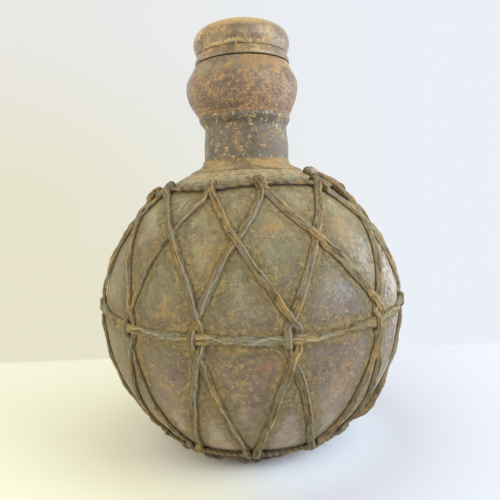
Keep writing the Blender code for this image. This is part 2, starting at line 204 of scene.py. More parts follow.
def buildPatch():
    # one stain about a place, reaching this far along each axis: the higher Firm, the more solid its middle
    group, given, result = newGroup("patch", ["Place", "Reach", "Firm"], ["Mask"])
    share = vectors("DIVIDE", vectors("SUBTRACT", given["Position"], given["Place"]), given["Reach"])
    blots = grain(given["Position"], 210, 6, 0.75, 0.3, given["Shift"])
    limit = times(less(vectors("LENGTH", share, output="Value"), 0.3), given["Firm"])
    plug(result, {"Mask": spread(less(blots, plus(limit, 0.5)), -0.02, 0.07)})
    return group


def buildDirt():
    # dirt caked beside and on the thongs, mottled in two tones
    group, given, result = newGroup("cakedDirt", ["Dark", "Light"], ["Color"])
    mottle = spread(grain(given["Position"], 260, 5, 0.75, 0.2, given["Shift"]), 0.40, 0.62)
    plug(result, {"Color": mixed(mottle, given["Dark"], given["Light"])})
    return group


def buildFibre():
    # lengthwise streaks of dried hide, on a UV whose V runs along the thong in metres
    group, given, result = newGroup("hideFibre", ["Along"], ["Streaks", "Fine", "Segments"])
    along, shift = given["Along"], given["Shift"]
    plug(result, {
        "Streaks": grain(vectors("MULTIPLY", along, (9, 80, 1)), 1, 4, 0.7, 0.8, shift),
        "Fine": grain(vectors("MULTIPLY", along, (30, 190, 1)), 1, 3, 0.7, 0.5, shift),
        "Segments": grain(given["Position"], 40, 3, 0.6, 0.3, shift),
    })
    return group


patina = buildPatina()
rustFlecks = buildFlecks()
facingDustAndBounce = buildDustAndBounce()
rustBloom = buildBloom()
patch = buildPatch()
cakedDirt = buildDirt()
hideFibre = buildFibre()


# The two kinds of finish, iron and hide: how far each layer stands up, how rough it is, how much it covers
relief = {"depth": 0.0012, "clouds": 0.8, "bloom": 0.25, "crust": 0.35, "fleck": 0.35, "streaks": 0.8,
          "fine": 0.8}
roughness = {"dustAndBounce": 0.85, "bloom": 0.85, "crust": 0.88, "fleck": 0.9, "coat": 0.34, "sheen": 0.45}
sheenTint = (0.86, 0.90, 1.0, 1)
hideShares = {"leeOchre": 0.30, "caked": 0.85, "crack": 0.75, "grit": 0.6}
hideGloss = {"rough": (0.62, 0.86), "specular": 0.35}


def newFinish(name):
    material = bpy.data.materials.new(name)
    material.use_nodes = True
    tree = material.node_tree
    return material, tree, tree.nodes["Principled BSDF"], addNode(tree, "TexCoord").outputs["Object"]


def dirtOf(position, shift, tones):
    return useGroup(cakedDirt, position, shift, Dark=shade(tones[0]), Light=shade(tones[1]))["Color"]


def amountOf(position, amount):
    # one amount, or how it changes between two heights: (height, its amount, height, its amount)
    if isinstance(amount, (int, float)):
        return amount
    top, few, foot, many = amount
    return spread(axisOf(position, "Z"), top, foot, few, many)


def ironFinish(name, looks):
    material, tree, shader, position = newFinish(name)
    shift = looks["shift"]
    tones = [shade(tone) for tone in looks["tones"]]
    if "zone" in looks:  # olive where it sat in the light, mauve low down and on one side; the shift from left to right is partly painted warm and cool light from those sides
        level = vectors("DOT_PRODUCT", position, looks["zone"], "Value")
        ragged = aboutZero(grain(position, 30, 6, 0.7, 0.4, shift + 9), 0.22)
        zone = spread(plus(level, ragged), looks["zoneHigh"], looks["zoneLow"])
        tones = [mixed(zone, olive, shade(mauve)) for olive, mauve in zip(tones, looks["mauveTones"])]
    tones = dict(zip(("Dark", "Middle", "Light"), tones))
    weather = useGroup(patina, position, shift, Scale=looks["cloudScale"], **tones)
    colour = weather["Color"]
    rough = spread(weather["Clouds"], 0.40, 0.60, *looks["rough"])
    height = times(weather["Clouds"], relief["clouds"])
    coarse = looks["grit"]
    for index, (low, high, share, tone) in enumerate(looks["dustAndBounce"]):
        dustAndBounce = useGroup(facingDustAndBounce, position, shift + index * 5, Low=low, High=high)
        mask = times(dustAndBounce["Mask"], share)
        colour = mixed(mask, colour, shade(tone))
        rough = between(mask, rough, roughness["dustAndBounce"])
    for index, (scale, amount, tone, share) in enumerate(looks["bloom"]):
        amount = amountOf(position, amount)
        bloom = useGroup(rustBloom, position, shift + 30 + index * 3, Scale=scale, Amount=amount)
        mask = times(bloom["Mask"], share)
        colour = mixed(mask, colour, shade(tone))
        rough = between(mask, rough, roughness["bloom"])
        height = plus(height, times(mask, relief["bloom"]))
    if "crust" in looks:  # dirt caked beside the thongs; right against them a dark band, partly dirt and partly painted shade in the crevice
        near = attributeOf(tree, "nearThong")
        broken = aboutZero(grain(position, 90, 7, 0.8, 0.3, shift + 4), 2.4)
        wide = spread(plus(near, broken), 0.38, 0.88)
        # a narrow band right against the thongs: partly caked dirt, partly painted shade where the thong
        # shades the shell
        tightDirtAndShade = spread(plus(near, times(broken, 0.12)), 0.86, 0.98)
        dirt = dirtOf(position, shift + 6, looks["crust"])
        colour = mixed(times(wide, looks["crustShare"]), colour, dirt)
        colour = mixed(times(tightDirtAndShade, looks["creviceDirtAndShadeShare"]), colour, shade(looks["creviceDirtAndShade"]))
        rough = between(wide, rough, roughness["crust"])
        coarse = between(wide, looks["grit"], looks["crustGrit"])
        height = plus(height, times(wide, relief["crust"]))
    for index, (place, reach, firm, tone, share) in enumerate(looks.get("patches", [])):
        stain = useGroup(patch, position, shift + index * 2.3, Place=place, Reach=reach, Firm=firm)
        colour = mixed(times(stain["Mask"], share), colour, shade(tone))
    for index, (scale, amount, tone, share) in enumerate(looks["flecks"]):
        amount = amountOf(position, amount)
        mask = useGroup(rustFlecks, position, shift + 11 + index * 4, Scale=scale, Amount=amount)["Mask"]
        colour = mixed(times(mask, share), colour, shade(tone))
        rough = between(mask, rough, roughness["fleck"])
        height = plus(height, times(mask, relief["fleck"]))
    height = plus(height, times(weather["Grit"], coarse))
    inputs = {"Height": height, "Strength": looks["bump"], "Distance": relief["depth"]}
    raised = addNode(tree, "Bump", inputs)
    plug(shader.inputs, {
        "Base Color": colour, "Roughness": rough, "Normal": raised.outputs[0], "Metallic": looks["metallic"],
        "Specular IOR Level": looks["specular"], "Coat Weight": looks["coat"],
        "Coat Roughness": roughness["coat"], "Sheen Weight": looks["sheen"],
        "Sheen Roughness": roughness["sheen"], "Sheen Tint": sheenTint,
    })
    return material


def hideFinish(name, looks):
    material, tree, shader, position = newFinish(name)
    shift = looks["shift"]
    tone = {label: shade(value) for label, value in looks["tones"].items()}
    crest, lee, foot = [attributeOf(tree, label) for label in ("crest", "lee", "foot")]
    along = addNode(tree, "UVMap", uv_map="along").outputs["UV"]
    fibre = useGroup(hideFibre, position, shift, Along=along)
    streaks, fine, segments = fibre["Streaks"], fibre["Fine"], fibre["Segments"]
    body = mixed(spread(streaks, 0.38, 0.60), tone["dark"], tone["middle"])
    body = mixed(times(spread(segments, 0.50, 0.40), looks["greyShare"]), body, tone["grey"])
    stained = plus(spread(segments, 0.50, 0.62), times(lee, hideShares["leeOchre"]))
    stained = times(stained, spread(streaks, 0.36, 0.56), clamp=True)
    body = mixed(times(stained, looks["ochreShare"]), body, tone["ochre"])
    worn = times(crest, spread(fine, 0.36, 0.58))
    palest = mixed(spread(segments, 0.44, 0.56), tone["pale"], tone["paleOchre"])
    body = mixed(times(worn, looks["crestShare"]), body, palest)
    broken = aboutZero(grain(position, 110, 6, 0.75, 0.3, shift + 3), 1.6)
    caked = spread(plus(foot, broken), 0.30, 0.70)
    body = mixed(times(caked, hideShares["caked"]), body, dirtOf(position, shift + 6, looks["dirt"]))
    cracks = times(spread(fine, 0.44, 0.34), less(1, caked))
    body = mixed(times(cracks, hideShares["crack"]), body, tone["crack"])
    grit = grain(position, 700, 3, 0.75, 0.0, shift + 5)
    body = mixed(hideShares["grit"], body, plus(times(grit, 3.0), -0.5), "MULTIPLY")
    height = plus(plus(times(streaks, relief["streaks"]), times(fine, relief["fine"])), grit)
    raised = addNode(tree, "Bump", {"Height": height, "Strength": 1.0, "Distance": relief["depth"]})
    rough = spread(fine, 0.3, 0.7, *hideGloss["rough"])
    plug(shader.inputs, {"Base Color": body, "Roughness": rough, "Normal": raised.outputs[0],
                         "Specular IOR Level": hideGloss["specular"]})
    return material


# Sizes of the globe and the neck, the same as the frame's
globe = {"radius": 0.1500, "girth": 0.1360, "sheet": 0.0020, "sides": 384, "rows": 192, "dent": 0.0007,
         "dentSize": 0.035, "calmEdge": 0.02}
neck = {"radius": 0.0434, "foot": 0.0060, "straight": 0.0210, "waistLength": 0.0180, "flare": 0.0098,
        "bead": 0.0024, "waist": 0.0419, "beadRadius": 0.0466, "beadEdge": 0.0006, "sides": 160,
        "footSteps": 12, "steps": 40}
touchGap = 0.0003
weldGap = 0.00002
globeMiddle = Vector((0, 0, globe["girth"]))
holeRadius = neck["radius"] + touchGap
shoulderHeight = math.sqrt(globe["radius"] ** 2 - holeRadius ** 2)
neckLevel = globe["girth"] + shoulderHeight
neckLength = neck["straight"] + neck["waistLength"] + neck["flare"] + neck["bead"]
bulbLevel = neckLevel + neckLength + touchGap


def slopes(places, values):
    # slopes of a curve through the points that never overshoots them
    rates = [(b - a) / (q - p) for a, b, p, q in zip(values, values[1:], places, places[1:])]
    found = [rates[0]]
    for before, after in zip(rates, rates[1:]):
        found.append(0 if before * after <= 0 else 2 * before * after / (before + after))
    return found + [rates[-1]]


def curveValue(places, values, tangents, place):
    index = 0
    while index < len(places) - 2 and place > places[index + 1]:
        index += 1
    run = places[index + 1] - places[index]
    share = (place - places[index]) / run
    back = 1 - share
    return (values[index] * back ** 2 * (1 + 2 * share) + values[index + 1] * share ** 2 * (1 + 2 * back)
            + run * share * back * (tangents[index] * back - tangents[index + 1] * share))


# Modelling tools
def openPiece(name):
    # the new primitive's place goes into its mesh, which is opened for editing
    piece = bpy.context.object
    piece.name = name
    bpy.ops.object.transform_apply(location=True, rotation=False, scale=False)
    bpy.ops.object.mode_set(mode="EDIT")
    bpy.ops.mesh.select_all(action="SELECT")
    return piece


def closePiece():
    bpy.ops.mesh.select_all(action="SELECT")
    bpy.ops.mesh.remove_doubles(threshold=weldGap)
    bpy.ops.mesh.normals_make_consistent(inside=False)
    bpy.ops.object.mode_set(mode="OBJECT")


def pick(piece):
    bpy.ops.object.select_all(action="DESELECT")
    piece.select_set(True)
    bpy.context.view_layer.objects.active = piece


def finishWith(piece, kind, **settings):
    # adds a modifier and applies it
    pick(piece)
    bpy.ops.object.modifier_add(type=kind)
    added = piece.modifiers[-1]
    for key, value in settings.items():
        setattr(added, key, value)
    bpy.ops.object.modifier_apply(modifier=added.name)


def turnPiece(name, outline, level, sides, closed=True, lean=lambda height: 0.0):
    # as on a lathe: a ring drawn out along an outline of (radius, height over level), whose centre may lean
    bpy.ops.object.select_all(action="DESELECT")
    outline = [(radius, height + level) for radius, height in outline]
    radius, height = outline[0]
    bpy.ops.mesh.primitive_circle_add(vertices=sides, radius=radius, location=(lean(height), 0, height))
    piece = openPiece(name)
    for nextRadius, nextHeight in outline[1:] + ([outline[0]] if closed else []):
        aside = lean(nextHeight)
        step = (aside - lean(height), 0, nextHeight - height)
        bpy.ops.mesh.extrude_edges_move(TRANSFORM_OT_translate={"value": step})
        share = nextRadius / radius
        bpy.ops.transform.resize(value=(share, share, 1), center_override=(aside, 0, nextHeight))
        radius, height = nextRadius, nextHeight
    closePiece()
    bpy.ops.object.shade_smooth_by_angle(angle=math.radians(50))
    return piece


def beat(piece, depth, size, mayMove):
    # hammer marks: the face sinks by up to depth wherever mayMove(point) lets it
    group = piece.vertex_groups.new(name="beaten")
    for vertex in piece.data.vertices:
        group.add([vertex.index], mayMove(vertex.co), "REPLACE")
    marks = bpy.data.textures.new(piece.name + "Marks", "CLOUDS")
    marks.noise_scale = size
    finishWith(piece, "DISPLACE", texture=marks, texture_coords="LOCAL", strength=depth, mid_level=1,
               vertex_group="beaten")
    piece.vertex_groups.clear()


def dress(piece, material, body, slotName, *nodes):
    piece.data.materials.clear()
    piece.data.materials.append(material)
    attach(piece, body)
    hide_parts(*nodes)


def globePoint(longitude, latitude, above):
    # a point this far above the shell; longitude runs from the front towards +X
    reach = (globe["radius"] + above) * math.cos(latitude)
    return Vector((reach * math.sin(longitude), -reach * math.cos(longitude),
                   globe["girth"] + (globe["radius"] + above) * math.sin(latitude)))


def onGlobe(longitude, latitude):
    return tuple(globePoint(math.radians(longitude), math.radians(latitude), 0))


# Routes of the net, as in the frame
net = {
    "thongWidth": 0.0066, "thongThickness": 0.0028, "pressed": 0.0016, "liftRun": 0.0042, "tail": 0.0016,
    "margin": 0.0006, "knotMargin": 0.0012, "strapWidth": 0.0076, "strapThickness": 0.0030,
    "ringWidth": 0.0062, "ringThickness": 0.0032, "baseWidth": 0.0070, "baseThickness": 0.0040,
    "lensGap": 0.0034, "twistRise": 0.0150, "twistDrop": 0.0155, "lensShoulder": 0.0084,
    "ringLongitudes": [-80, -57, -20, 7, 46, 70, 100, 130, 161, 191, 222, 252],
    "ringLatitudes": [52, 54, 53, 55, 54, 53, 53, 54, 52, 53, 54, 52],
    "girthLongitudes": [-75, -44, -17, 12, 46, 75, 105, 134, 165, 195, 226, 256],
    "girthLatitudes": [5, 2, 1, 0, 1, 3, 4, 3, 2, 3, 4, 5],
    "baseLongitudes": [-65, -35, -3, 32, 57, 90, 121, 151, 182, 212, 241, 268], "baseLatitude": -50,
    "upperCover": 1.05, "lowerCover": 1.55, "knotCover": 1.50, "lensShare": 0.9, "routeSteps": 400,
    "gaps": [1.0, 0.7, 0.3, 0.9, 0.8, 0.8, 1.1, 1.0, 0.7, 1.0, 0.9, 1.1],
    "overTaut": [(1.3, 1.0), (1.1, 1.3), (0.1, 0.2), (-0.2, 0.3), (0.5, 0.6), (0.7, 1.0),
                 (0.9, 0.8), (0.6, 1.0), (1.0, 0.7), (0.8, 1.0), (0.7, 0.9), (1.0, 0.8)],
    "underTaut": [(0.8, 1.0), (0.7, 0.8), (0.8, 1.0), (0.3, 0.0), (0.8, 1.0), (0.2, 0.6),
                  (0.8, 0.9), (1.0, 0.7), (0.7, 1.0), (0.9, 0.8), (1.0, 1.0), (0.8, 0.9)],
}
thongCount = len(net["ringLongitudes"])
crossingLift = net["pressed"] + touchGap


def around(values, index):
    return math.radians(values[index % thongCount] + 360 * (index // thongCount))


def bump(run, middle, flat, height):
    beyond = (abs(run - middle) - flat) / net["liftRun"]
    return height * (1 + math.cos(math.pi * min(max(beyond, 0), 1))) / 2


def hoopLatitude(longitudes, latitudes):
    indices = range(-2, thongCount + 3)
    places = [around(longitudes, index) for index in indices]
    values = [math.radians(latitudes[index % thongCount]) for index in indices]
    tangents = slopes(places, values)
    return lambda longitude: curveValue(places, values, tangents, longitude)


ringLine = hoopLatitude(net["ringLongitudes"], net["ringLatitudes"])
girthLine = hoopLatitude(net["girthLongitudes"], net["girthLatitudes"])


def beside(latitude, knot, lean):
    # where a thong lies at one side of its knot on the base ring
    across = lean * (net["thongWidth"] + touchGap) / 2
    return latitude, knot + across / (globe["radius"] * math.cos(latitude))


def lensHalf(node):
    return (net["thongWidth"] + net["lensGap"] * net["gaps"][node % thongCount]) / 2


def drawnTaut(falls, start, end):
    # how far the shortest way over the globe lies beside the way that falls evenly in latitude
    first, last = [globePoint(longitude, latitude, 0) - globeMiddle for latitude, longitude in (start, end)]
    turn = first.angle(last)
    arcFalls, arcLongitudes = [], []
    for share in np.linspace(0, 1, net["routeSteps"]):
        point = (first * math.sin(turn * (1 - share)) + last * math.sin(turn * share)) / math.sin(turn)
        arcFalls.append(-math.asin(point.z / globe["radius"]))
        arcLongitudes.append(start[1] + math.remainder(math.atan2(point.x, -point.y) - start[1], math.tau))
    even = np.interp(falls, [arcFalls[0], arcFalls[-1]], [arcLongitudes[0], arcLongitudes[-1]])
    return np.interp(falls, arcFalls, arcLongitudes) - even


def thongRoute(index, node, base, lean, taut):
    # one thong from ring to ring: past its knot at the girth, which stands open like a lens
    radius = globe["radius"]
    top = math.radians(net["ringLatitudes"][index % thongCount])
    girth = math.radians(net["girthLatitudes"][node % thongCount])
    foot = math.radians(net["baseLatitude"])
    start = around(net["ringLongitudes"], index)
    middle = around(net["girthLongitudes"], node)
    end = around(net["baseLongitudes"], base)
    startTail = (net["ringWidth"] / 2 + net["tail"]) / radius
    endTail = (net["baseWidth"] / 2 + net["tail"]) / radius
    bulge = lean * lensHalf(node) / radius
    side = net["lensShoulder"] / radius
    stations = [
        (top + startTail, start), (top, start), (girth + net["twistRise"] / radius, middle),
        (girth + side, middle + bulge * net["lensShare"]), (girth, middle + bulge),
        (girth - side, middle + bulge * net["lensShare"]), (girth - net["twistDrop"] / radius, middle),
        beside(foot, end, lean), beside(foot - endTail, end, lean),
    ]
    places = [-latitude for latitude, longitude in stations]
    values = [longitude for latitude, longitude in stations]
    tangents = slopes(places[1:-1], values[1:-1])
    falls = np.linspace(places[0], places[-1], net["routeSteps"])
    longitudes = np.interp(falls, places, values)
    for at, fall in enumerate(falls):
        if places[1] < fall < places[-2]:
            longitudes[at] = curveValue(places[1:-1], values[1:-1], tangents, fall)
    upper = taut[0] * drawnTaut(falls, stations[1], stations[2])
    longitudes += upper + taut[1] * drawnTaut(falls, stations[-3], stations[-2])
    steps = np.hypot(np.diff(falls), np.cos((falls[1:] + falls[:-1]) / 2) * np.diff(longitudes))
    runs = np.concatenate([[0], np.cumsum(steps)]) * radius
    return {"falls": falls, "longitudes": longitudes, "runs": runs, "top": top, "girth": girth,
            "strap": girthLine(middle + bulge), "foot": foot}


def runAt(way, latitude):
    return float(np.interp(-latitude, way["falls"], way["runs"]))


def pastBand(way, latitude, half):
    # how far a thong runs before all its width is clear of half a band
    run = runAt(way, latitude - half / globe["radius"]) - runAt(way, latitude)
    return run + net["thongWidth"] / 2 * math.sqrt(max((run / half) ** 2 - 1, 0))


def meeting(over, under):
    # the latitude at which two thongs cross above the girth
    first = max(over["falls"][0], under["falls"][0])
    falls = np.linspace(first, -net["twistRise"] / globe["radius"], net["routeSteps"])
    left = np.interp(falls, over["falls"], over["longitudes"])
    right = np.interp(falls, under["falls"], under["longitudes"])
    return -float(np.interp(0, left - right, falls))


overWays = [thongRoute(at, at + 1, at, 1, taut) for at, taut in enumerate(net["overTaut"])]
underWays = [thongRoute(at, at - 1, at - 1, -1, taut) for at, taut in enumerate(net["underTaut"])]


def crossingsOf(kind, index):
    # a thong's way, and rows of (run, flat half, lift) where it meets something on its way down
    over = kind == "over"
    way = (overWays if over else underWays)[index]
    partner = index + 1 if over else index - 1
    other = (underWays if over else overWays)[partner % thongCount]
    other = {**other, "longitudes": other["longitudes"] + math.tau * (partner // thongCount)}
    crossing = meeting(way, other) if over else meeting(other, way)
    above = crossingLift if over else 0
    cover = net["upperCover"] * net["thongWidth"]
    longCover = (net["lowerCover"] + net["upperCover"]) * net["thongWidth"] / 2
    ringFlat = net["ringWidth"] / 2 + net["tail"]
    ringLift = net["ringThickness"] + touchGap
    knotFlat = max(pastBand(one, one["top"], ringFlat) for one in (overWays[index], underWays[index]))
    topRun = runAt(way, way["top"])
    lowerCrossing = runAt(way, way["girth"] - net["twistDrop"] / globe["radius"])
    knot = [(topRun, knotFlat, ringLift)]
    if over:
        knot = [(topRun, knotFlat + net["knotMargin"], ringLift + above),
                (topRun, net["knotCover"] * net["thongWidth"], above)]
    return way, knot + [
        (runAt(way, crossing), cover, above),
        (runAt(way, way["girth"] + net["twistRise"] / globe["radius"]), cover, above),
        (runAt(way, way["strap"]), net["strapWidth"] / 2 + net["margin"], 0 if over else 2 * crossingLift),
        (lowerCrossing + longCover - cover, longCover, above),
        (runAt(way, way["foot"]), net["baseWidth"] / 2 + net["tail"], net["baseThickness"] + touchGap),
    ]


# Hide laid on the globe: shares of a strip's thickness and half width, and small lengths in metres
strip = {
    "corners": 14, "edge": 0.44, "rise": 0.18, "top": 0.62, "slope": 0.62, "curl": 1.7, "ridgeReach": 0.13,
    "crestReach": 0.17, "pivot": 0.35, "lowest": 0.0002, "foot": 0.97, "footMiddle": 0.35, "foldSteps": 8,
    "foldReach": 0.0006, "foldShare": 0.35, "ridgeLeast": 0.05, "footingLeast": 0.02,
}


def hideSection(width, thickness, crest, roll, down, ridge, footing=(0, 0)):
    # a dried strip's outline as (across, up, crest mask, lee mask, foot mask): steep up to a thin ridge near
    # one edge, then a long slope to the other, and walls that spread where dirt has caked against them
    found = []
    pivot = strip["pivot"]
    for step in range(strip["corners"] + 1):
        across = math.sin(math.pi * (step / strip["corners"] - 0.5))
        if across <= crest:
            rise = (across + 1) / (crest + 1)
            up = strip["edge"] + (strip["rise"] + ridge) * rise * rise * (3 - 2 * rise)
            lee = 0
        else:
            lee = (across - crest) / (1 - crest)
            up = strip["top"] * (1 - strip["slope"] * lee ** strip["curl"])
            up += ridge * math.exp(-((lee / strip["ridgeReach"]) ** 2))
        x, y = across * 0.5 * width, (up - pivot) * thickness
        turnedX = x * math.cos(roll) - y * math.sin(roll)
        turnedY = x * math.sin(roll) + y * math.cos(roll) + pivot * thickness
        worn = math.exp(-(((across - crest) / strip["crestReach"]) ** 2))
        found.append((turnedX, max(turnedY, strip["lowest"]), worn, lee, 0))
    left, right = found[-1][0], found[0][0]
    foot, inner = strip["foot"], strip["footMiddle"]
    for share, lee in ((foot + footing[0], 1), (inner, 1), (-inner, 0), (-foot - footing[1], 0)):
        found.append(((left + right) / 2 + (left - right) / 2 * share, -down, 0, lee, 1))
    return found


def loftHide(name, rows, closed=False):
    # rows of (centre, outward, section) joined into one skin, with a UV along it and its masks as attributes
    shape = bmesh.new()
    layers = [shape.verts.layers.float.new(label) for label in ("crest", "lee", "foot")]
    uv = shape.loops.layers.uv.new("along")
    count, sides = len(rows), len(rows[0][2])
    rings, run, runs = [], 0.0, []
    for index, (centre, outward, section) in enumerate(rows):
        before = rows[index - 1][0] if index or closed else centre
        after = rows[(index + 1) % count][0] if index < count - 1 or closed else centre
        side = (after - before).normalized().cross(outward).normalized()
        ring = []
        for across, up, *masks in section:
            vertex = shape.verts.new(centre + side * across + outward * up)
            for layer, mask in zip(layers, masks):
                vertex[layer] = mask
            ring.append(vertex)
        rings.append(ring)
        run += (centre - rows[index - 1][0]).length if index else 0
        runs.append(run)
    for near in range(count if closed else count - 1):
        far = (near + 1) % count
        nearRing, farRing, nearRun = rings[near], rings[far], runs[near]
        farRun = runs[far] if far else run + (rows[0][0] - rows[-1][0]).length
        for corner in range(sides):
            ahead = (corner + 1) % sides
            face = shape.faces.new((nearRing[corner], nearRing[ahead], farRing[ahead], farRing[corner]))
            places = [(corner, nearRun), (corner + 1, nearRun), (corner + 1, farRun), (corner, farRun)]
            for loop, (step, at) in zip(face.loops, places):
                loop[uv].uv = (step / sides, at)
    if not closed:
        for ring in (rings[0], rings[-1]):
            middle = shape.verts.new(sum((vertex.co for vertex in ring), Vector()) / sides)
            for corner in range(sides):
                shape.faces.new((ring[corner], ring[(corner + 1) % sides], middle))
    bmesh.ops.recalc_face_normals(shape, faces=shape.faces)
    mesh = bpy.data.meshes.new(name)
    shape.to_mesh(mesh)
    shape.free()
    mesh.shade_smooth()
    piece = bpy.data.objects.new(name, mesh)
    bpy.context.collection.objects.link(piece)
    return piece


def loftStrip(name, rows, fold=None):
    # a strip whose two ends turn over and tuck in beneath: by fold's (drop, reach), or down to the globe
    ends = []
    for (centre, outward, section), inner in ((rows[0], rows[1]), (rows[-1], rows[-2])):
        away = (centre - inner[0]).normalized()
        drop = (centre - globeMiddle).length - globe["radius"] - touchGap
        drop, reach = fold or (drop, strip["foldReach"] + strip["foldShare"] * drop)
        flat = [(across, max(up, 0), *masks) for across, up, *masks in section]
        turned = []
        for step in range(1, strip["foldSteps"] + 1):
            turn = math.pi * step / strip["foldSteps"]
            place = centre + away * reach * math.sin(turn) - outward * drop * (1 - math.cos(turn)) / 2
            turned.append((place, (outward * math.cos(turn) + away * math.sin(turn)).normalized(), flat))
        ends.append(turned)
    return loftHide(name, ends[0][::-1] + rows + ends[1])


def wander(seed, *waves):
    # a slow uneven swing: waves of (reach, length in metres), each with its own start
    starts = random.Random(seed)
    begun = [(reach, length, starts.uniform(0, math.tau)) for reach, length in waves]
    return lambda run: sum(reach * math.sin(math.tau * run / length + at) for reach, length, at in begun)


def swingsOf(seed, looks):
    return {label: wander(seed + label, *waves) for label, waves in looks["swings"].items()}


def unevenSection(looks, swing, run, width, thickness, roll, down):
    # the outline at one place of a strip whose width, crest, ridge and footing swing along it
    crest = min(max(looks["crest"] + swing["crestSwing"](run), -looks["crestLimit"]), looks["crestLimit"])
    ridge = max(looks["ridge"] + swing["ridgeSwing"](run), strip["ridgeLeast"])
    sides = [swing[label](run) for label in ("leftFooting", "rightFooting")]
    footing = [max(looks["footing"] + side, strip["footingLeast"]) for side in sides]
    return hideSection(width * (1 + swing["widthSwing"](run)), thickness, crest, roll, down, ridge, footing)


def thinned(full, pressed):
    return full - (full - net["pressed"]) * pressed


def pointsAt(points, place):
    # a value read from a short table of (place, value), whichever way it runs
    rows = sorted(points)
    return float(np.interp(place, [row[0] for row in rows], [row[1] for row in rows]))


thong = {
    "step": 0.0009, "crest": -0.60, "crestLimit": 1.0, "ridge": 0.38, "fuller": 1.12, "narrower": 0.94,
    "footing": 0.20, "wide": {"over3": 1.20, "under4": 1.08, "over4": 1.10, "under2": 0.88},
    "swings": {
        "crestSwing": [(0.16, 0.090), (0.12, 0.041), (0.03, 0.013)],
        "ridgeSwing": [(0.18, 0.033), (0.06, 0.011)], "rollSwing": [(0.10, 0.120), (0.06, 0.052)],
        "widthSwing": [(0.07, 0.070), (0.05, 0.027), (0.02, 0.0095)],
        "sideSwing": [(0.00030, 0.040), (0.00014, 0.015)],
        "leftFooting": [(0.10, 0.037), (0.08, 0.0131)], "rightFooting": [(0.10, 0.029), (0.08, 0.0107)],
    },
    # (latitude, metres off the globe) and (latitude, degrees aside), for single thongs
    "proud": {"over4": [(-24, 0.0), (-31, 0.0035), (-37, 0.0060), (-42, 0.0045), (-47, 0.0)]},
    "drift": {"under2": [(28, 0.0), (40, 1.5), (46, 3.0), (50, 1.5), (54, 0.0)],
              "under3": [(22, 0.0), (31, 1.0), (40, 3.2), (48, 3.6), (55, 1.5)]},
}


def buildThong(kind, index):
    way, crossings = crossingsOf(kind, index)
    seed = f"{kind}{index}"
    swing = swingsOf(seed, thong)
    broad = net["thongWidth"] * thong["narrower"] * thong["wide"].get(seed, 1.0)
    length = float(way["runs"][-1])
    count = int(length / thong["step"])
    rows = []
    for step in range(count + 1):
        run = length * step / count
        fall = float(np.interp(run, way["runs"], way["falls"]))
        longitude = float(np.interp(run, way["runs"], way["longitudes"]))
        lifted = max(bump(run, place, flat, lift) for place, flat, lift in crossings)
        pressed = max(bump(run, place, flat, 1) for place, flat, lift in crossings)
        proud = pointsAt(thong["proud"].get(seed, [(0, 0)]), -math.degrees(fall))
        longitude += swing["sideSwing"](run) / (globe["radius"] * math.cos(fall))
        longitude += math.radians(pointsAt(thong["drift"].get(seed, [(0, 0)]), -math.degrees(fall)))
        centre = globePoint(longitude, -fall, touchGap + lifted + proud)
        thickness = thong["fuller"] * thinned(net["thongThickness"], pressed)
        roll = swing["rollSwing"](run) * (1 - pressed)
        section = unevenSection(thong, swing, run, broad, thickness, roll, lifted + proud)
        rows.append((centre, (centre - globeMiddle).normalized(), section))
    return loftStrip(f"{kind}Thong{index + 1:02d}", rows)


# Two more strands: one over the right shoulder that starts in a knot, one slung under the base ring, dark,
# partly more rope and partly standing in for the shadow under the ring
strandLooks = {"taper": 0.03, "endWidth": 0.5, "endThickness": 0.4, "knotWidth": 0.5, "roll": 0.1,
               "fold": (0.002, 0.0012), "paleKnot": 0.8, "realKnot": 0.5}
strands = {
    "shoulderStrand": {
        "path": [(59, 62.5), (64, 60), (66, 56), (64.5, 51), (62, 45), (60, 39), (58.5, 33)],
        "width": 0.0064, "thickness": 0.0034, "above": 0.0030, "knotLength": 0.0075, "knotSize": 0.8},
    "baseStrand": {
        "path": [(-44, -51.5), (-35, -54.5), (-26, -57), (-15, -58), (-4, -58), (8, -57), (20, -54)],
        "width": 0.0105, "thickness": 0.0062, "above": 0.0002, "knotLength": 0.0100, "knotSize": 0.1},
}


def buildStrand(name, looks):
    places = [Vector(onGlobe(longitude, latitude)) for longitude, latitude in looks["path"]]
    ends = np.concatenate([[0], np.cumsum([(b - a).length for a, b in zip(places, places[1:])])])
    axes = [[place[axis] for place in places] for axis in range(3)]
    tangents = [slopes(ends, values) for values in axes]
    swing = swingsOf(name, thong)
    knotHalf = looks["knotLength"] / 2
    rows = []
    for run in np.arange(0, ends[-1], thong["step"]):
        point = Vector([curveValue(ends, values, tangent, run) for values, tangent in zip(axes, tangents)])
        outward = (point - globeMiddle).normalized()
        knot = math.exp(-((run - knotHalf) / knotHalf) ** 4)
        full = min(1, (ends[-1] - run) / strandLooks["taper"])
        broad = 1 + strandLooks["knotWidth"] * looks["knotSize"] * knot + swing["widthSwing"](run)
        width = looks["width"] * broad * (strandLooks["endWidth"] + (1 - strandLooks["endWidth"]) * full)
        tall = strandLooks["endThickness"] + (1 - strandLooks["endThickness"]) * full
        thickness = looks["thickness"] * tall * (1 + looks["knotSize"] * knot)
        above = touchGap + looks["above"] * full
        crest = thong["crest"] + swing["crestSwing"](run)
        ridge = thong["ridge"] + swing["ridgeSwing"](run)
        section = hideSection(width, thickness, crest, strandLooks["roll"], above - touchGap, ridge)
        if looks["knotSize"] > strandLooks["realKnot"]:
            pale = strandLooks["paleKnot"] * knot
            section = [(across, up, max(worn, pale), lee, foot) for across, up, worn, lee, foot in section]
        rows.append((globeMiddle + outward * (globe["radius"] + above), outward, section))
    return loftStrip(name, rows, strandLooks["fold"])


def joinStrand(piece, name):
    strand = buildStrand(name, strands[name])
    pick(piece)
    strand.select_set(True)
    bpy.ops.object.join()


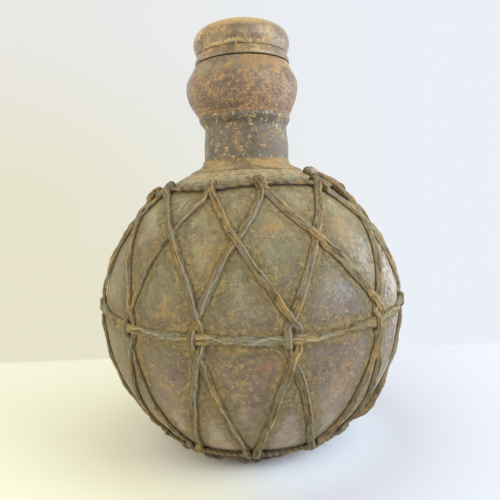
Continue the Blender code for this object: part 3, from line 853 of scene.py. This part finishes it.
thongFinish = hideFinish("thongHide", {
    "shift": 1.0, "greyShare": 0.5, "ochreShare": 0.7, "crestShare": 0.9,
    "tones": {"dark": (74, 63, 40), "middle": (132, 117, 80), "grey": (134, 128, 108),
              "ochre": (168, 134, 76), "pale": (182, 176, 152), "paleOchre": (212, 184, 138),
              "crack": (46, 38, 25)},
    "dirt": [(100, 87, 54), (160, 138, 90)],
})
for kind in ("over", "under"):
    for index in range(thongCount):
        piece = buildThong(kind, index)
        if (kind, index) == ("over", 4):
            joinStrand(piece, "shoulderStrand")
        dress(piece, thongFinish, "pot", "thong_hide", f"{kind}_thong_{index + 1:02d}")
print("thongs laid")


# Girth strap and the two rings
strap = {
    "step": 0.0009, "crest": 0.10, "crestLimit": 0.8, "ridge": 0.36, "fuller": 1.15, "footing": 0.14,
    "swings": {
        "crestSwing": [(0.50, 0.060), (0.20, 0.023), (0.06, 0.0070)],
        "ridgeSwing": [(0.16, 0.029), (0.14, 0.0079)], "rollSwing": [(0.22, 0.058), (0.14, 0.026)],
        "widthSwing": [(0.09, 0.047), (0.07, 0.019), (0.03, 0.0061)],
        "leftFooting": [(0.06, 0.041), (0.06, 0.0127)], "rightFooting": [(0.06, 0.031), (0.06, 0.0111)],
    },
    # (longitude, radians turned, degrees half way along)
    "twists": [(-34, 0.7, 5), (-13, 0.4, 6), (-4, -0.5, 5), (2.5, 1.1, 4.5), (21, 0.8, 6), (31, -0.7, 7),
               (60, 0.8, 6), (118, 0.9, 6), (150, -0.7, 7), (212, 0.9, 5)],
}


def buildStrap():
    clear = net["thongWidth"] / 2 + touchGap
    swing = swingsOf("strap", strap)
    rows = []
    for index in range(thongCount):
        knot = around(net["girthLongitudes"], index)
        span = globe["radius"] * (around(net["girthLongitudes"], index + 1) - knot)
        count = int(span / strap["step"])
        flats = [(0, lensHalf(index) + clear), (span, lensHalf(index + 1) + clear)]
        for step in range(count):
            offset = span * step / count
            turn = knot + offset / globe["radius"]
            run = globe["radius"] * turn
            lifted = max(bump(offset, end, flat, crossingLift) for end, flat in flats)
            pressed = max(bump(offset, end, flat, 1) for end, flat in flats)
            centre = globePoint(turn, girthLine(turn), touchGap + lifted)
            roll = swing["rollSwing"](run)
            for place, turned, half in strap["twists"]:
                roll += turned * math.exp(-(((math.degrees(turn) - place) / half) ** 2))
            roll *= 1 - pressed
            thickness = strap["fuller"] * thinned(net["strapThickness"], pressed)
            section = unevenSection(strap, swing, run, net["strapWidth"], thickness, roll, lifted)
            rows.append((centre, (centre - globeMiddle).normalized(), section))
    return loftHide("girthStrap", rows, closed=True)


# The two rings, wound a little fuller than in the frame, with the pitch and the depth of their turns
winding = {"step": 0.0008, "corners": 14, "start": -80, "waves": [(0.08, 0.061), (0.06, 0.021)]}
windings = {
    "shoulder": {"width": net["ringWidth"], "thickness": 1.1 * net["ringThickness"], "pitch": 0.0105,
                 "depth": 0.18, "latitude": ringLine},
    "base": {"width": 1.15 * net["baseWidth"], "thickness": 1.2 * net["baseThickness"], "pitch": 0.0060,
             "depth": 0.26, "latitude": lambda turn: math.radians(net["baseLatitude"])},
}


def buildRing(kind):
    # a thong bound round itself, so that its turns show as slanting ridges
    looks = windings[kind]
    swing = wander(kind, *winding["waves"])
    latitude, depth = looks["latitude"], looks["depth"]
    radius = globe["radius"] * math.cos(latitude(0.0))
    count = int(math.tau * globe["radius"] * math.cos(latitude(0.0)) / winding["step"])
    turns = round(math.tau * radius / looks["pitch"])
    rows = []
    for step in range(count):
        turn = math.radians(winding["start"]) + math.tau * step / count
        centre = globePoint(turn, latitude(turn), touchGap)
        size = 1 + swing(radius * turn)
        section = []
        for corner in range(winding["corners"]):
            angle = math.tau * corner / winding["corners"]
            ridge = abs(math.sin((turns * math.tau * step / count + angle) / 2))
            reach = size * (1 - depth + depth * ridge)
            across = 0.5 * looks["width"] * math.cos(angle) * reach
            up = looks["thickness"] * (0.5 + 0.5 * math.sin(angle) * reach)
            section.append((across, max(up, 0), ridge * (0.5 + 0.5 * math.sin(angle)), 0.5, 0))
        rows.append((centre, (centre - globeMiddle).normalized(), section))
    return loftHide(kind + "Ring", rows, closed=True)


strapFinish = hideFinish("strapHide", {
    "shift": 4.0, "greyShare": 0.6, "ochreShare": 0.7, "crestShare": 0.75,
    "tones": {"dark": (86, 76, 48), "middle": (136, 123, 84), "grey": (132, 128, 106),
              "ochre": (172, 142, 86), "pale": (184, 180, 158), "paleOchre": (208, 186, 140),
              "crack": (54, 46, 30)},
    "dirt": [(104, 90, 56), (176, 152, 102)],
})
ringTones = {"dark": (50, 41, 28), "middle": (88, 72, 47), "grey": (104, 92, 76), "ochre": (156, 122, 68),
             "pale": (170, 158, 130), "paleOchre": (196, 164, 108), "crack": (36, 30, 20)}
ringLooks = {"shift": 8.0, "greyShare": 0.4, "ochreShare": 0.7, "crestShare": 0.55,
             "dirt": [(80, 66, 42), (140, 116, 72)], "tones": ringTones}
# the base ring is darker than the shoulder ring: partly its own dark hide, partly painted shade where the
# globe shades it and the shadow falls under it
baseDarkAndShadeTones = {**ringTones, "dark": (36, 31, 24), "middle": (68, 58, 44)}
ringFinish = hideFinish("ringHide", ringLooks)
baseDarkAndShadeFinish = hideFinish("baseHideAndShade", {**ringLooks, "shift": 12.0, "ochreShare": 0.2, "tones": baseDarkAndShadeTones})
dress(buildStrap(), strapFinish, "pot", "strap_hide", "girth_strap")
dress(buildRing("shoulder"), ringFinish, "pot", "dark_hide", "shoulder_ring")
baseRing = buildRing("base")
joinStrand(baseRing, "baseStrand")
dress(baseRing, baseDarkAndShadeFinish, "pot", "dark_hide", "base_ring")
print("strap and rings laid")


# Iron globe. In this and the other iron finishes, a row of dust and bounce light is (low, high, share,
# tone), of bloom or flecks (scale, amount, tone, share), and of patches (place, reach, firm, tone, share)
globeLooks = {
    "shift": 0.0, "cloudScale": 34, "zone": (-0.45, 0.0, 1.0), "zoneHigh": 0.21, "zoneLow": 0.10,
    "tones": [(90, 82, 54), (119, 109, 74), (140, 129, 92)],
    "mauveTones": [(86, 72, 58), (110, 94, 76), (130, 114, 93)],
    "rough": (0.42, 0.66), "metallic": 0.10, "specular": 0.6, "sheen": 0.06, "coat": 0.07, "bump": 1.0,
    "grit": 1.2, "crustGrit": 2.6, "crust": [(126, 110, 66), (184, 158, 96)], "crustShare": 0.85,
    "creviceDirtAndShade": (78, 66, 42), "creviceDirtAndShadeShare": 0.30,
    # the first row is dust on faces that look up; the second, on faces that look down, is painted
    # floor-bounce light that lightens the underside
    "dustAndBounce": [(0.42, 1.02, 0.75, (178, 166, 120)), (-0.20, -0.75, 0.78, (184, 168, 146))],
    "bloom": [(70, 0.45, (146, 124, 76), 0.5), (150, 0.42, (172, 136, 72), 0.6),
              (55, 0.40, (90, 80, 62), 0.45), (200, (0.20, 0.12, 0.09, 0.36), (176, 148, 102), 0.45)],
    "flecks": [(310, (0.20, 0.26, 0.09, 0.46), (200, 167, 110), 0.72),
               (440, (0.20, 0.28, 0.08, 0.50), (170, 132, 80), 0.60)],
    "patches": [(onGlobe(2.5, -8.5), (0.020, 0.04, 0.015), 0.22, (160, 92, 52), 0.70),
                (onGlobe(4, -14), (0.016, 0.04, 0.020), 0.22, (122, 82, 66), 0.5),
                (onGlobe(6, -24), (0.030, 0.05, 0.024), 0.20, (112, 110, 86), 0.6),
                (onGlobe(41, 30), (0.016, 0.04, 0.034), 0.25, (168, 124, 90), 0.6),
                (onGlobe(36, 44), (0.014, 0.04, 0.020), 0.25, (190, 150, 110), 0.55),
                (onGlobe(-14, 27), (0.030, 0.05, 0.040), 0.22, (170, 132, 64), 0.6),
                (onGlobe(9, 30), (0.022, 0.04, 0.030), 0.25, (106, 104, 86), 0.45),
                # a bluish grey patch on the right of the front: a painted sheen, the reflection of the cool
                # window light
                (onGlobe(31, 12), (0.028, 0.04, 0.028), 0.24, (138, 142, 142), 0.6),
                (onGlobe(28, -16), (0.034, 0.05, 0.030), 0.18, (178, 142, 94), 0.4),
                # these three pale patches on the right side are painted light: the window light and its
                # grazing sheen on that side
                (onGlobe(47, 22), (0.046, 0.10, 0.062), 0.35, (190, 184, 164), 0.45),
                (onGlobe(50, -14), (0.040, 0.08, 0.046), 0.35, (188, 172, 152), 0.35),
                (onGlobe(70, 10), (0.090, 0.17, 0.150), 0.50, (210, 198, 180), 0.65),
                # a pale cap round the bottom of the globe: painted light bounced up from the floor
                ((0, 0, 0.0100), (0.45, 0.45, 0.0440), 0.30, (192, 174, 148), 0.6),
                ((0, 0, 0.2390), (0.45, 0.45, 0.0240), 0.25, (178, 168, 126), 0.45),
                ((0, 0, 0.2735), (0.45, 0.45, 0.0240), 0.45, (188, 162, 106), 0.85),
                ((0, 0, 0.2780), (0.45, 0.45, 0.0170), 0.05, (98, 84, 54), 0.7)],
}
crustReach = {"far": 0.0200, "fade": 0.0165, "lineSteps": 720, "start": -80}


def routePoints():
    points = []
    for way in overWays + underWays:
        pairs = zip(way["falls"][::2], way["longitudes"][::2])
        points += [globePoint(longitude, -fall, 0) for fall, longitude in pairs]
    for step in range(crustReach["lineSteps"]):
        turn = math.radians(crustReach["start"] + step * 360 / crustReach["lineSteps"])
        points += [globePoint(turn, line(turn), 0) for line in (girthLine, ringLine)]
    return points


def nearThongs(piece, points):
    # how close each point of the shell lies to a thong, kept as an attribute for the finish
    tree = kdtree.KDTree(len(points))
    for index, point in enumerate(points):
        tree.insert(point, index)
    tree.balance()
    away = [tree.find(vertex.co)[2] for vertex in piece.data.vertices]
    near = [min(max((crustReach["far"] - one) / crustReach["fade"], 0), 1) for one in away]
    piece.data.attributes.new("nearThong", "FLOAT", "POINT").data.foreach_set("value", near)


def buildShell(name, low, high, flatBase):
    # a ball cut at two levels, beaten and given its wall inwards
    bpy.ops.object.select_all(action="DESELECT")
    bpy.ops.mesh.primitive_uv_sphere_add(segments=globe["sides"], ring_count=globe["rows"],
                                         radius=globe["radius"], location=globeMiddle)
    piece = openPiece(name)
    bpy.ops.mesh.bisect(plane_co=(0, 0, low), plane_no=(0, 0, 1), clear_inner=True, use_fill=flatBase)
    bpy.ops.mesh.select_all(action="SELECT")
    bpy.ops.mesh.bisect(plane_co=(0, 0, high), plane_no=(0, 0, 1), clear_outer=True)
    closePiece()
    beat(piece, globe["dent"], globe["dentSize"],
         lambda point: min(max(min(point.z - low, high - point.z) / globe["calmEdge"], 0), 1))
    finishWith(piece, "SOLIDIFY", thickness=globe["sheet"], offset=-1)
    bpy.ops.object.shade_smooth_by_angle(angle=math.radians(40))
    nearThongs(piece, routePoints())
    return piece


globeFinish = ironFinish("globeIron", globeLooks)
lowerShell = buildShell("lowerShell", 0.0, globe["girth"], True)
dress(lowerShell, globeFinish, "pot", "lower_iron", "lower_shell")
upperShell = buildShell("upperShell", globe["girth"], neckLevel, False)
dress(upperShell, globeFinish, "pot", "upper_iron", "upper_shell")
print("globe turned")


# Collar, neck and bulb
collar = {"width": 0.0138, "edge": 0.0012, "lip": 0.0006, "fillet": 0.0056, "feather": 0.0060,
          "thin": 0.0002, "rim": 0.0001, "beside": 0.0004, "edgeSteps": 14, "filletSteps": 12, "sides": 160}
bulb = {"radius": 0.0568, "lower": 0.0280, "upper": 0.0232, "rim": 0.0480, "mouth": 0.0400, "round": 0.0010,
        "rimEdge": (0.0003, 0.0004), "past": 0.0020, "seam": 0.0012, "lowerSteps": 26, "upperSteps": 24,
        "sides": 160, "outline": [(0.25, 0.06), (0.50, 0.32), (0.75, 0.68), (1.0, 1.0)]}
crook = {"levels": [0.280, 0.295, 0.322, 0.3303, 0.345, 0.360, 0.375, 0.382],
         "shifts": [0, 0.0010, 0.0010, 0, -0.0012, -0.0011, -0.0008, -0.0003]}
mouthLevel = bulbLevel + bulb["lower"] + bulb["upper"]


def onShoulder(radius, above):
    return math.sqrt((globe["radius"] + above) ** 2 - radius ** 2) - shoulderHeight


def buildCollar():
    outer = holeRadius + collar["width"]
    top = touchGap + collar["edge"]
    flange = holeRadius + collar["lip"] + collar["fillet"]
    outline = [(holeRadius, onShoulder(holeRadius, touchGap)), (outer, onShoulder(outer, collar["rim"]))]
    for radius in np.linspace(outer, flange + collar["beside"], collar["edgeSteps"]):  # beaten down thin
        share = min((outer - radius) / collar["feather"], 1)
        above = touchGap + collar["thin"] + (top - touchGap - collar["thin"]) * math.sqrt(share)
        outline.append((radius, onShoulder(radius, above)))
    for turn in np.linspace(0, math.pi / 2, collar["filletSteps"]):
        radius = flange - collar["fillet"] * math.sin(turn)
        outline.append((radius, onShoulder(radius, top) + collar["fillet"] * (1 - math.cos(turn))))
    outline.append((holeRadius, outline[-1][1]))
    return turnPiece("neckCollar", outline, neckLevel, collar["sides"])


def crooked(height):
    # the neck and the swelling above it were set a little out of line
    return float(np.interp(height, crook["levels"], crook["shifts"]))


def buildNeck():
    heights = [neck["straight"], neck["straight"] + neck["waistLength"], neckLength - neck["bead"]]
    radii = [neck["radius"], neck["waist"], neck["beadRadius"]]
    footHeights = np.linspace(-neck["foot"], neck["straight"], neck["footSteps"])[:-1]
    outer = [(neck["radius"], height) for height in footHeights]
    for height in np.linspace(heights[0], heights[-1], neck["steps"]):
        outer.append((curveValue(heights, radii, [0, 0, 0], height), height))
    outer.append((neck["beadRadius"], neckLength - neck["beadEdge"]))
    outer.append((neck["beadRadius"] - touchGap, neckLength))
    inner = [(radius - globe["sheet"], height) for radius, height in outer[::-3]]
    return turnPiece("neckTube", outer + inner, neckLevel, neck["sides"], lean=crooked)


def buildBulb():
    sheet = globe["sheet"]
    foot = neck["beadRadius"] - touchGap
    tall = bulb["lower"] + bulb["upper"]
    rim, mouth, quarter = bulb["rim"], bulb["mouth"], math.pi / 2
    outer = []
    for turn in np.linspace(0, quarter, bulb["lowerSteps"]):
        outer.append((foot + (bulb["radius"] - foot) * math.sin(turn), bulb["lower"] * turn / quarter))
    ups, inwards = [[0] + list(values) for values in zip(*bulb["outline"])]
    tangents = slopes(ups, inwards)
    tangents[0] = 0
    for up in np.linspace(0, 1, bulb["upperSteps"])[1:]:
        inward = curveValue(ups, inwards, tangents, up)
        height = bulb["lower"] + (bulb["upper"] - bulb["round"]) * up
        outer.append((bulb["radius"] - (bulb["radius"] - rim) * inward, height))
    edgeIn, edgeDown = bulb["rimEdge"]
    lip = [(rim - edgeIn, tall - edgeDown), (rim - bulb["round"], tall), (mouth, tall),
           (mouth, tall - sheet), (rim - sheet, tall - sheet)]
    inside = [(radius - sheet, height) for radius, height in outer[2:-1][::-3]]
    spigot = neck["waist"] - sheet - touchGap
    end = neck["straight"] + neck["waistLength"] - bulb["past"] - neckLength - touchGap
    gripped = [(foot - sheet, sheet), (spigot - sheet, sheet), (spigot - sheet, end), (spigot, end),
               (spigot, 0)]
    return turnPiece("neckBulb", outer + lip + inside + gripped, bulbLevel, bulb["sides"], lean=crooked)


seamLevel = bulbLevel + bulb["seam"]
collarFinish = ironFinish("collarIron", {
    "shift": 21.0, "cloudScale": 60, "tones": [(112, 96, 62), (150, 131, 86), (180, 158, 110)],
    "rough": (0.6, 0.85), "metallic": 0.05,
    "specular": 0.45, "sheen": 0.1, "coat": 0.0, "bump": 0.9, "grit": 1.5,
    "dustAndBounce": [(0.2, 0.9, 0.5, (170, 152, 106))],
    "bloom": [(90, 0.60, (178, 142, 84), 0.8), (120, 0.50, (98, 82, 52), 0.75),
              (200, 0.4, (196, 166, 108), 0.6)],
    "flecks": [(260, 0.35, (186, 140, 76), 0.6)],
})
neckFinish = ironFinish("neckIron", {
    "shift": 33.0, "cloudScale": 50, "tones": [(60, 52, 38), (83, 74, 57), (110, 99, 79)],
    "rough": (0.34, 0.56), "metallic": 0.15,
    "specular": 0.6, "sheen": 0.16, "coat": 0.14, "bump": 0.8, "grit": 0.6,
    "dustAndBounce": [(0.3, 1.0, 0.5, (150, 136, 96))],
    "bloom": [(90, 0.30, (128, 96, 58), 0.6)],
    "flecks": [(280, 0.45, (216, 186, 126), 0.9), (420, 0.50, (186, 142, 88), 0.7)],
    "patches": [((0.0, -0.045, seamLevel), (0.3, 0.3, 0.0060), 0.4, (164, 120, 80), 0.7),
                # a bluish grey patch on the right of the front: a painted highlight of the cool window light
                ((0.018, -0.042, 0.288), (0.014, 0.03, 0.012), 0.4, (104, 112, 112), 0.5)],
})
bulbFinish = ironFinish("bulbIron", {
    "shift": 45.0, "cloudScale": 55, "tones": [(68, 52, 36), (93, 73, 48), (134, 110, 70)],
    "rough": (0.26, 0.46), "metallic": 0.10,
    "specular": 0.8, "sheen": 0.05, "coat": 0.32, "bump": 0.9, "grit": 0.5,
    "dustAndBounce": [(0.0, 0.85, 0.45, (152, 132, 78))],
    "bloom": [(80, (0.385, 0.80, 0.350, 0.20), (172, 126, 66), 0.7), (60, 0.40, (82, 62, 44), 0.55),
              (170, (0.374, 0.20, 0.350, 0.36), (184, 140, 86), 0.6)],
    "flecks": [(310, (0.378, 0.25, 0.350, 0.66), (204, 162, 106), 0.8),
               (450, (0.378, 0.25, 0.345, 0.62), (184, 134, 84), 0.6)],
    "patches": [((0.0, 0.0, seamLevel + 0.0040), (0.3, 0.3, 0.0050), 0.30, (96, 56, 42), 0.6),
                ((0.0, 0.0, seamLevel - 0.0002), (0.3, 0.3, 0.0040), 0.40, (180, 134, 92), 0.6),
                # a dark ring at the mouth, where the lid sits: painted shade in the gap between the lid and
                # the bulb
                ((0.0, 0.0, mouthLevel), (0.3, 0.3, 0.0028), 3.0, (48, 38, 24), 0.9),
                ((-0.034, -0.04, 0.372), (0.032, 0.04, 0.018), 0.3, (142, 126, 78), 0.7),
                # a grey patch at the left edge: a painted sheen along that edge
                ((-0.052, -0.022, 0.357), (0.016, 0.04, 0.026), 0.4, (132, 126, 118), 0.6)],
})
dress(buildCollar(), collarFinish, "pot", "dusty_iron", "neck_collar")
dress(buildNeck(), neckFinish, "pot", "neck_iron", "neck_tube")
dress(buildBulb(), bulbFinish, "pot", "rusty_iron", "neck_bulb")
print("neck turned")


# Lid
lid = {"ring": 0.0482, "ringHeight": 0.0096, "seat": 0.0459, "radius": 0.0488, "height": 0.0338,
       "plug": 0.0394, "plugDepth": 0.0140, "ringEdge": [(0.0012, 0), (0.0005, 0.0003), (0.0001, 0.0009)],
       "wallStart": 0.0016, "wallEnd": 0.0004, "wallLean": -0.15, "wallSteps": 16, "seatEdge": 0.0006,
       "rounder": 1.3, "crownSlope": 0.02, "domeSteps": 58, "pole": 0.00001, "sides": 160,
       "outline": [(0.0, 0.941), (0.108, 0.968), (0.280, 1.000), (0.474, 0.982), (0.655, 0.895),
                   (0.785, 0.735), (0.905, 0.490), (1.0, 0.0)]}


def buildLidRing():
    bore = lid["plug"] + touchGap
    heights = [lid["wallStart"], lid["ringHeight"] - lid["wallEnd"]]
    radii = [lid["ring"], lid["seat"]]
    outline = [(bore, 0)] + [(lid["ring"] - inward, up) for inward, up in lid["ringEdge"]]
    for height in np.linspace(*heights, lid["wallSteps"]):
        outline.append((curveValue(heights, radii, [0, lid["wallLean"]], height), height))
    outline += [(lid["seat"] - lid["seatEdge"], lid["ringHeight"]), (bore, lid["ringHeight"])]
    return turnPiece("lidRing", outline, mouthLevel + touchGap, lid["sides"])


def buildLidCap():
    # the dome is a smooth curve against the angle from its rim to its top
    sheet, pole, plug = globe["sheet"], lid["pole"], lid["plug"]
    ups, reaches = zip(*lid["outline"])
    places = range(len(ups))
    upSlopes, reachSlopes = slopes(places, ups), slopes(places, reaches)
    reachSlopes[-1] *= lid["rounder"]
    upSlopes[-1] = lid["crownSlope"]
    outer = []
    for place in np.linspace(0, places[-1], lid["domeSteps"]):
        outer.append((lid["radius"] * curveValue(places, reaches, reachSlopes, place),
                      lid["height"] * curveValue(places, ups, upSlopes, place)))
    outer[-1] = (pole, lid["height"])
    inner = [((lid["radius"] - sheet) * reach, sheet + (lid["height"] - 2 * sheet) * up)
             for up, reach in lid["outline"][-2:0:-1]]
    plugEnd = -(lid["plugDepth"] + lid["ringHeight"] + 2 * touchGap)
    outline = [(pole, lid["height"] - sheet)] + inner + [(lid["seat"] - sheet, sheet)]
    outline += [(plug - sheet, sheet), (plug - sheet, plugEnd), (plug, plugEnd), (plug, 0)] + outer
    level = mouthLevel + lid["ringHeight"] + 2 * touchGap
    return turnPiece("lidCap", outline, level, lid["sides"], closed=False)


lidFinish = ironFinish("lidIron", {
    "shift": 57.0, "cloudScale": 60, "tones": [(82, 64, 40), (115, 92, 56), (158, 129, 76)],
    "rough": (0.26, 0.46), "metallic": 0.15,
    "specular": 0.9, "sheen": 0.0, "coat": 0.28, "bump": 0.6, "grit": 0.4,
    "dustAndBounce": [(0.2, 1.05, 0.65, (200, 162, 84))],
    "bloom": [(70, 0.40, (192, 152, 82), 0.6), (60, 0.45, (96, 76, 50), 0.6)],
    "flecks": [(240, 0.30, (206, 164, 94), 0.7), (330, 0.25, (176, 118, 70), 0.5)],
    "patches": [((-0.006, -0.050, 0.4070), (0.040, 0.05, 0.0100), 0.45, (100, 80, 54), 0.8),
                ((-0.020, -0.048, 0.4010), (0.040, 0.05, 0.0070), 0.45, (104, 84, 56), 0.75),
                ((-0.012, -0.045, 0.3950), (0.060, 0.06, 0.0040), 0.25, (206, 174, 112), 0.65),
                # a dark ring at the lid's foot: painted shade in the gap between the lid and the bulb
                ((0.0, 0.0, mouthLevel + 0.0004), (0.3, 0.3, 0.0024), 3.0, (48, 38, 24), 0.9),
                ((-0.040, -0.028, 0.408), (0.024, 0.05, 0.016), 0.4, (200, 158, 86), 0.75)],
})
dress(buildLidCap(), lidFinish, "lid", "lid_iron", "lid_cap")
dress(buildLidRing(), lidFinish, "lid", "lid_iron", "lid_ring")
print("lid turned")


# Stage, light and camera. Warm is the left of the front, cool its right
stage = {
    "floorRadius": 3.0, "floorSides": 96, "farEdge": 0.263, "farBlend": 0.02, "roundEdge": (0.9, 1.5),
    "shadowFillEdge": (0.16, 0.09), "floorRough": 0.7, "floorGloss": 0.2, "sides": (-0.45, 0.35), "wallTop": 0.36,
    "skyStrength": 1.12, "warm": (231, 227, 203), "cool": (235, 240, 247), "topLeft": (233, 232, 228),
    # floorWarm and floorCool tint the floor with the lamps' warm and cool light, painted; the shadow-fill
    # tones paint light into the shadow near the pot
    "floorWarm": (228, 226, 199), "floorCool": (204, 206, 210), "shadowFillWarm": (236, 236, 222),
    "shadowFillCool": (236, 244, 254), "skyLeft": (1.0, 0.97, 0.90, 1), "skyRight": (0.98, 1.03, 1.12, 1),
}
# each lamp's place, size, power and colour; all look at the same spot
lamps = {
    "window": ((1.10, -0.70, 0.80), 0.8, 11.6, (0.84, 0.92, 1.0)),
    "room": ((-1.0, -0.6, 0.4), 1.0, 4.5, (1.0, 0.93, 0.80)),
    "doorway": ((1.30, 0.20, 0.25), 0.8, 7.8, (0.88, 0.92, 1.0)),
}
lampAim = Vector((0, 0, 0.2))
view = {"place": (0.00039, -0.5274, 0.241), "down": 5.1, "lean": -2.33, "lens": 36, "sensor": 36,
        "nearest": 0.01}


def sideTone(direction, left, right):
    # warm at the left of the front, cool at its right
    across = axisOf(vectors("NORMALIZE", direction), "X")
    return mixed(spread(across, *stage["sides"]), left, right)


def showBackdrop(tree, seen, lit, glow, output):
    # where it is seen, the camera gets the backdrop's own colour in place of the lit surface
    both = addNode(tree, "MixShader", {0: seen, 1: lit.outputs[0], 2: glow.outputs[0]})
    plug(tree.nodes[output].inputs, {"Surface": both.outputs[0]})


def buildFloor():
    bpy.ops.object.select_all(action="DESELECT")
    bpy.ops.mesh.primitive_circle_add(vertices=stage["floorSides"], radius=stage["floorRadius"],
                                      fill_type="NGON", location=(0, 0, 0))
    floor = bpy.context.object
    floor.name = "floor"
    material, tree, shader, position = newFinish("paleTable")
    away = vectors("LENGTH", position, output="Value")
    broad = sideTone(position, shade(stage["floorWarm"]), shade(stage["floorCool"]))
    # near the pot the floor is paler and bluer: a painted fill that lifts the shadow under the pot; the warm
    # left and cool right of the floor are painted tints of the warm and cool lamps
    near = sideTone(position, shade(stage["shadowFillWarm"]), shade(stage["shadowFillCool"]))
    plug(shader.inputs, {"Base Color": mixed(spread(away, *stage["shadowFillEdge"]), broad, near),
                         "Roughness": stage["floorRough"], "Specular IOR Level": stage["floorGloss"]})
    backdrop = sideTone(position, shade(stage["warm"]), shade(stage["cool"]))
    glow = addNode(tree, "Emission", {"Color": backdrop, "Strength": 1.0})
    behind = spread(axisOf(position, "Y"), stage["farEdge"], stage["farEdge"] + stage["farBlend"])
    far = maths("MAXIMUM", behind, spread(away, *stage["roundEdge"]))
    seen = times(far, addNode(tree, "LightPath").outputs["Is Camera Ray"])
    showBackdrop(tree, seen, shader, glow, "Material Output")
    floor.data.materials.append(material)


def buildSky():
    world = bpy.data.worlds.new("paleRoom")
    bpy.context.scene.world = world
    world.use_nodes = True
    tree = world.node_tree
    light = tree.nodes["Background"]
    direction = addNode(tree, "TexCoord").outputs["Generated"]
    plug(light.inputs, {"Color": sideTone(direction, stage["skyLeft"], stage["skyRight"]),
                        "Strength": stage["skyStrength"]})
    rise = spread(axisOf(direction, "Z"), 0.0, stage["wallTop"])
    leftWall = mixed(rise, shade(stage["warm"]), shade(stage["topLeft"]))
    backdrop = sideTone(direction, leftWall, shade(stage["cool"]))
    glow = addNode(tree, "Background", {"Color": backdrop, "Strength": 1.0})
    seen = addNode(tree, "LightPath").outputs["Is Camera Ray"]
    showBackdrop(tree, seen, light, glow, "World Output")


def addLamp(name, place, size, power, colour):
    bpy.ops.object.light_add(type="AREA", location=place)
    lamp = bpy.context.object
    lamp.name = name
    lamp.rotation_euler = (lampAim - Vector(place)).to_track_quat("-Z", "Y").to_euler()
    lamp.data.shape = "DISK"
    lamp.data.size = size
    lamp.data.energy = power
    lamp.data.color = colour


def buildCamera():
    bpy.ops.object.camera_add(location=view["place"])
    camera = bpy.context.object
    down, lean = math.radians(view["down"]), math.radians(view["lean"])
    forward = Vector((0, math.cos(down), -math.sin(down)))
    right = Vector((1, 0, 0))
    up = right.cross(forward)
    tiltedRight = right * math.cos(lean) + up * math.sin(lean)
    tiltedUp = up * math.cos(lean) - right * math.sin(lean)
    camera.rotation_euler = Matrix((tiltedRight, tiltedUp, -forward)).transposed().to_euler()
    camera.data.lens = view["lens"]
    camera.data.sensor_width = view["sensor"]
    camera.data.clip_start = view["nearest"]
    bpy.context.scene.camera = camera


buildFloor()
buildSky()
for name, looks in lamps.items():
    addLamp(name, *looks)
buildCamera()
bpy.context.scene.view_settings.view_transform = "Standard"

print("scene ready")
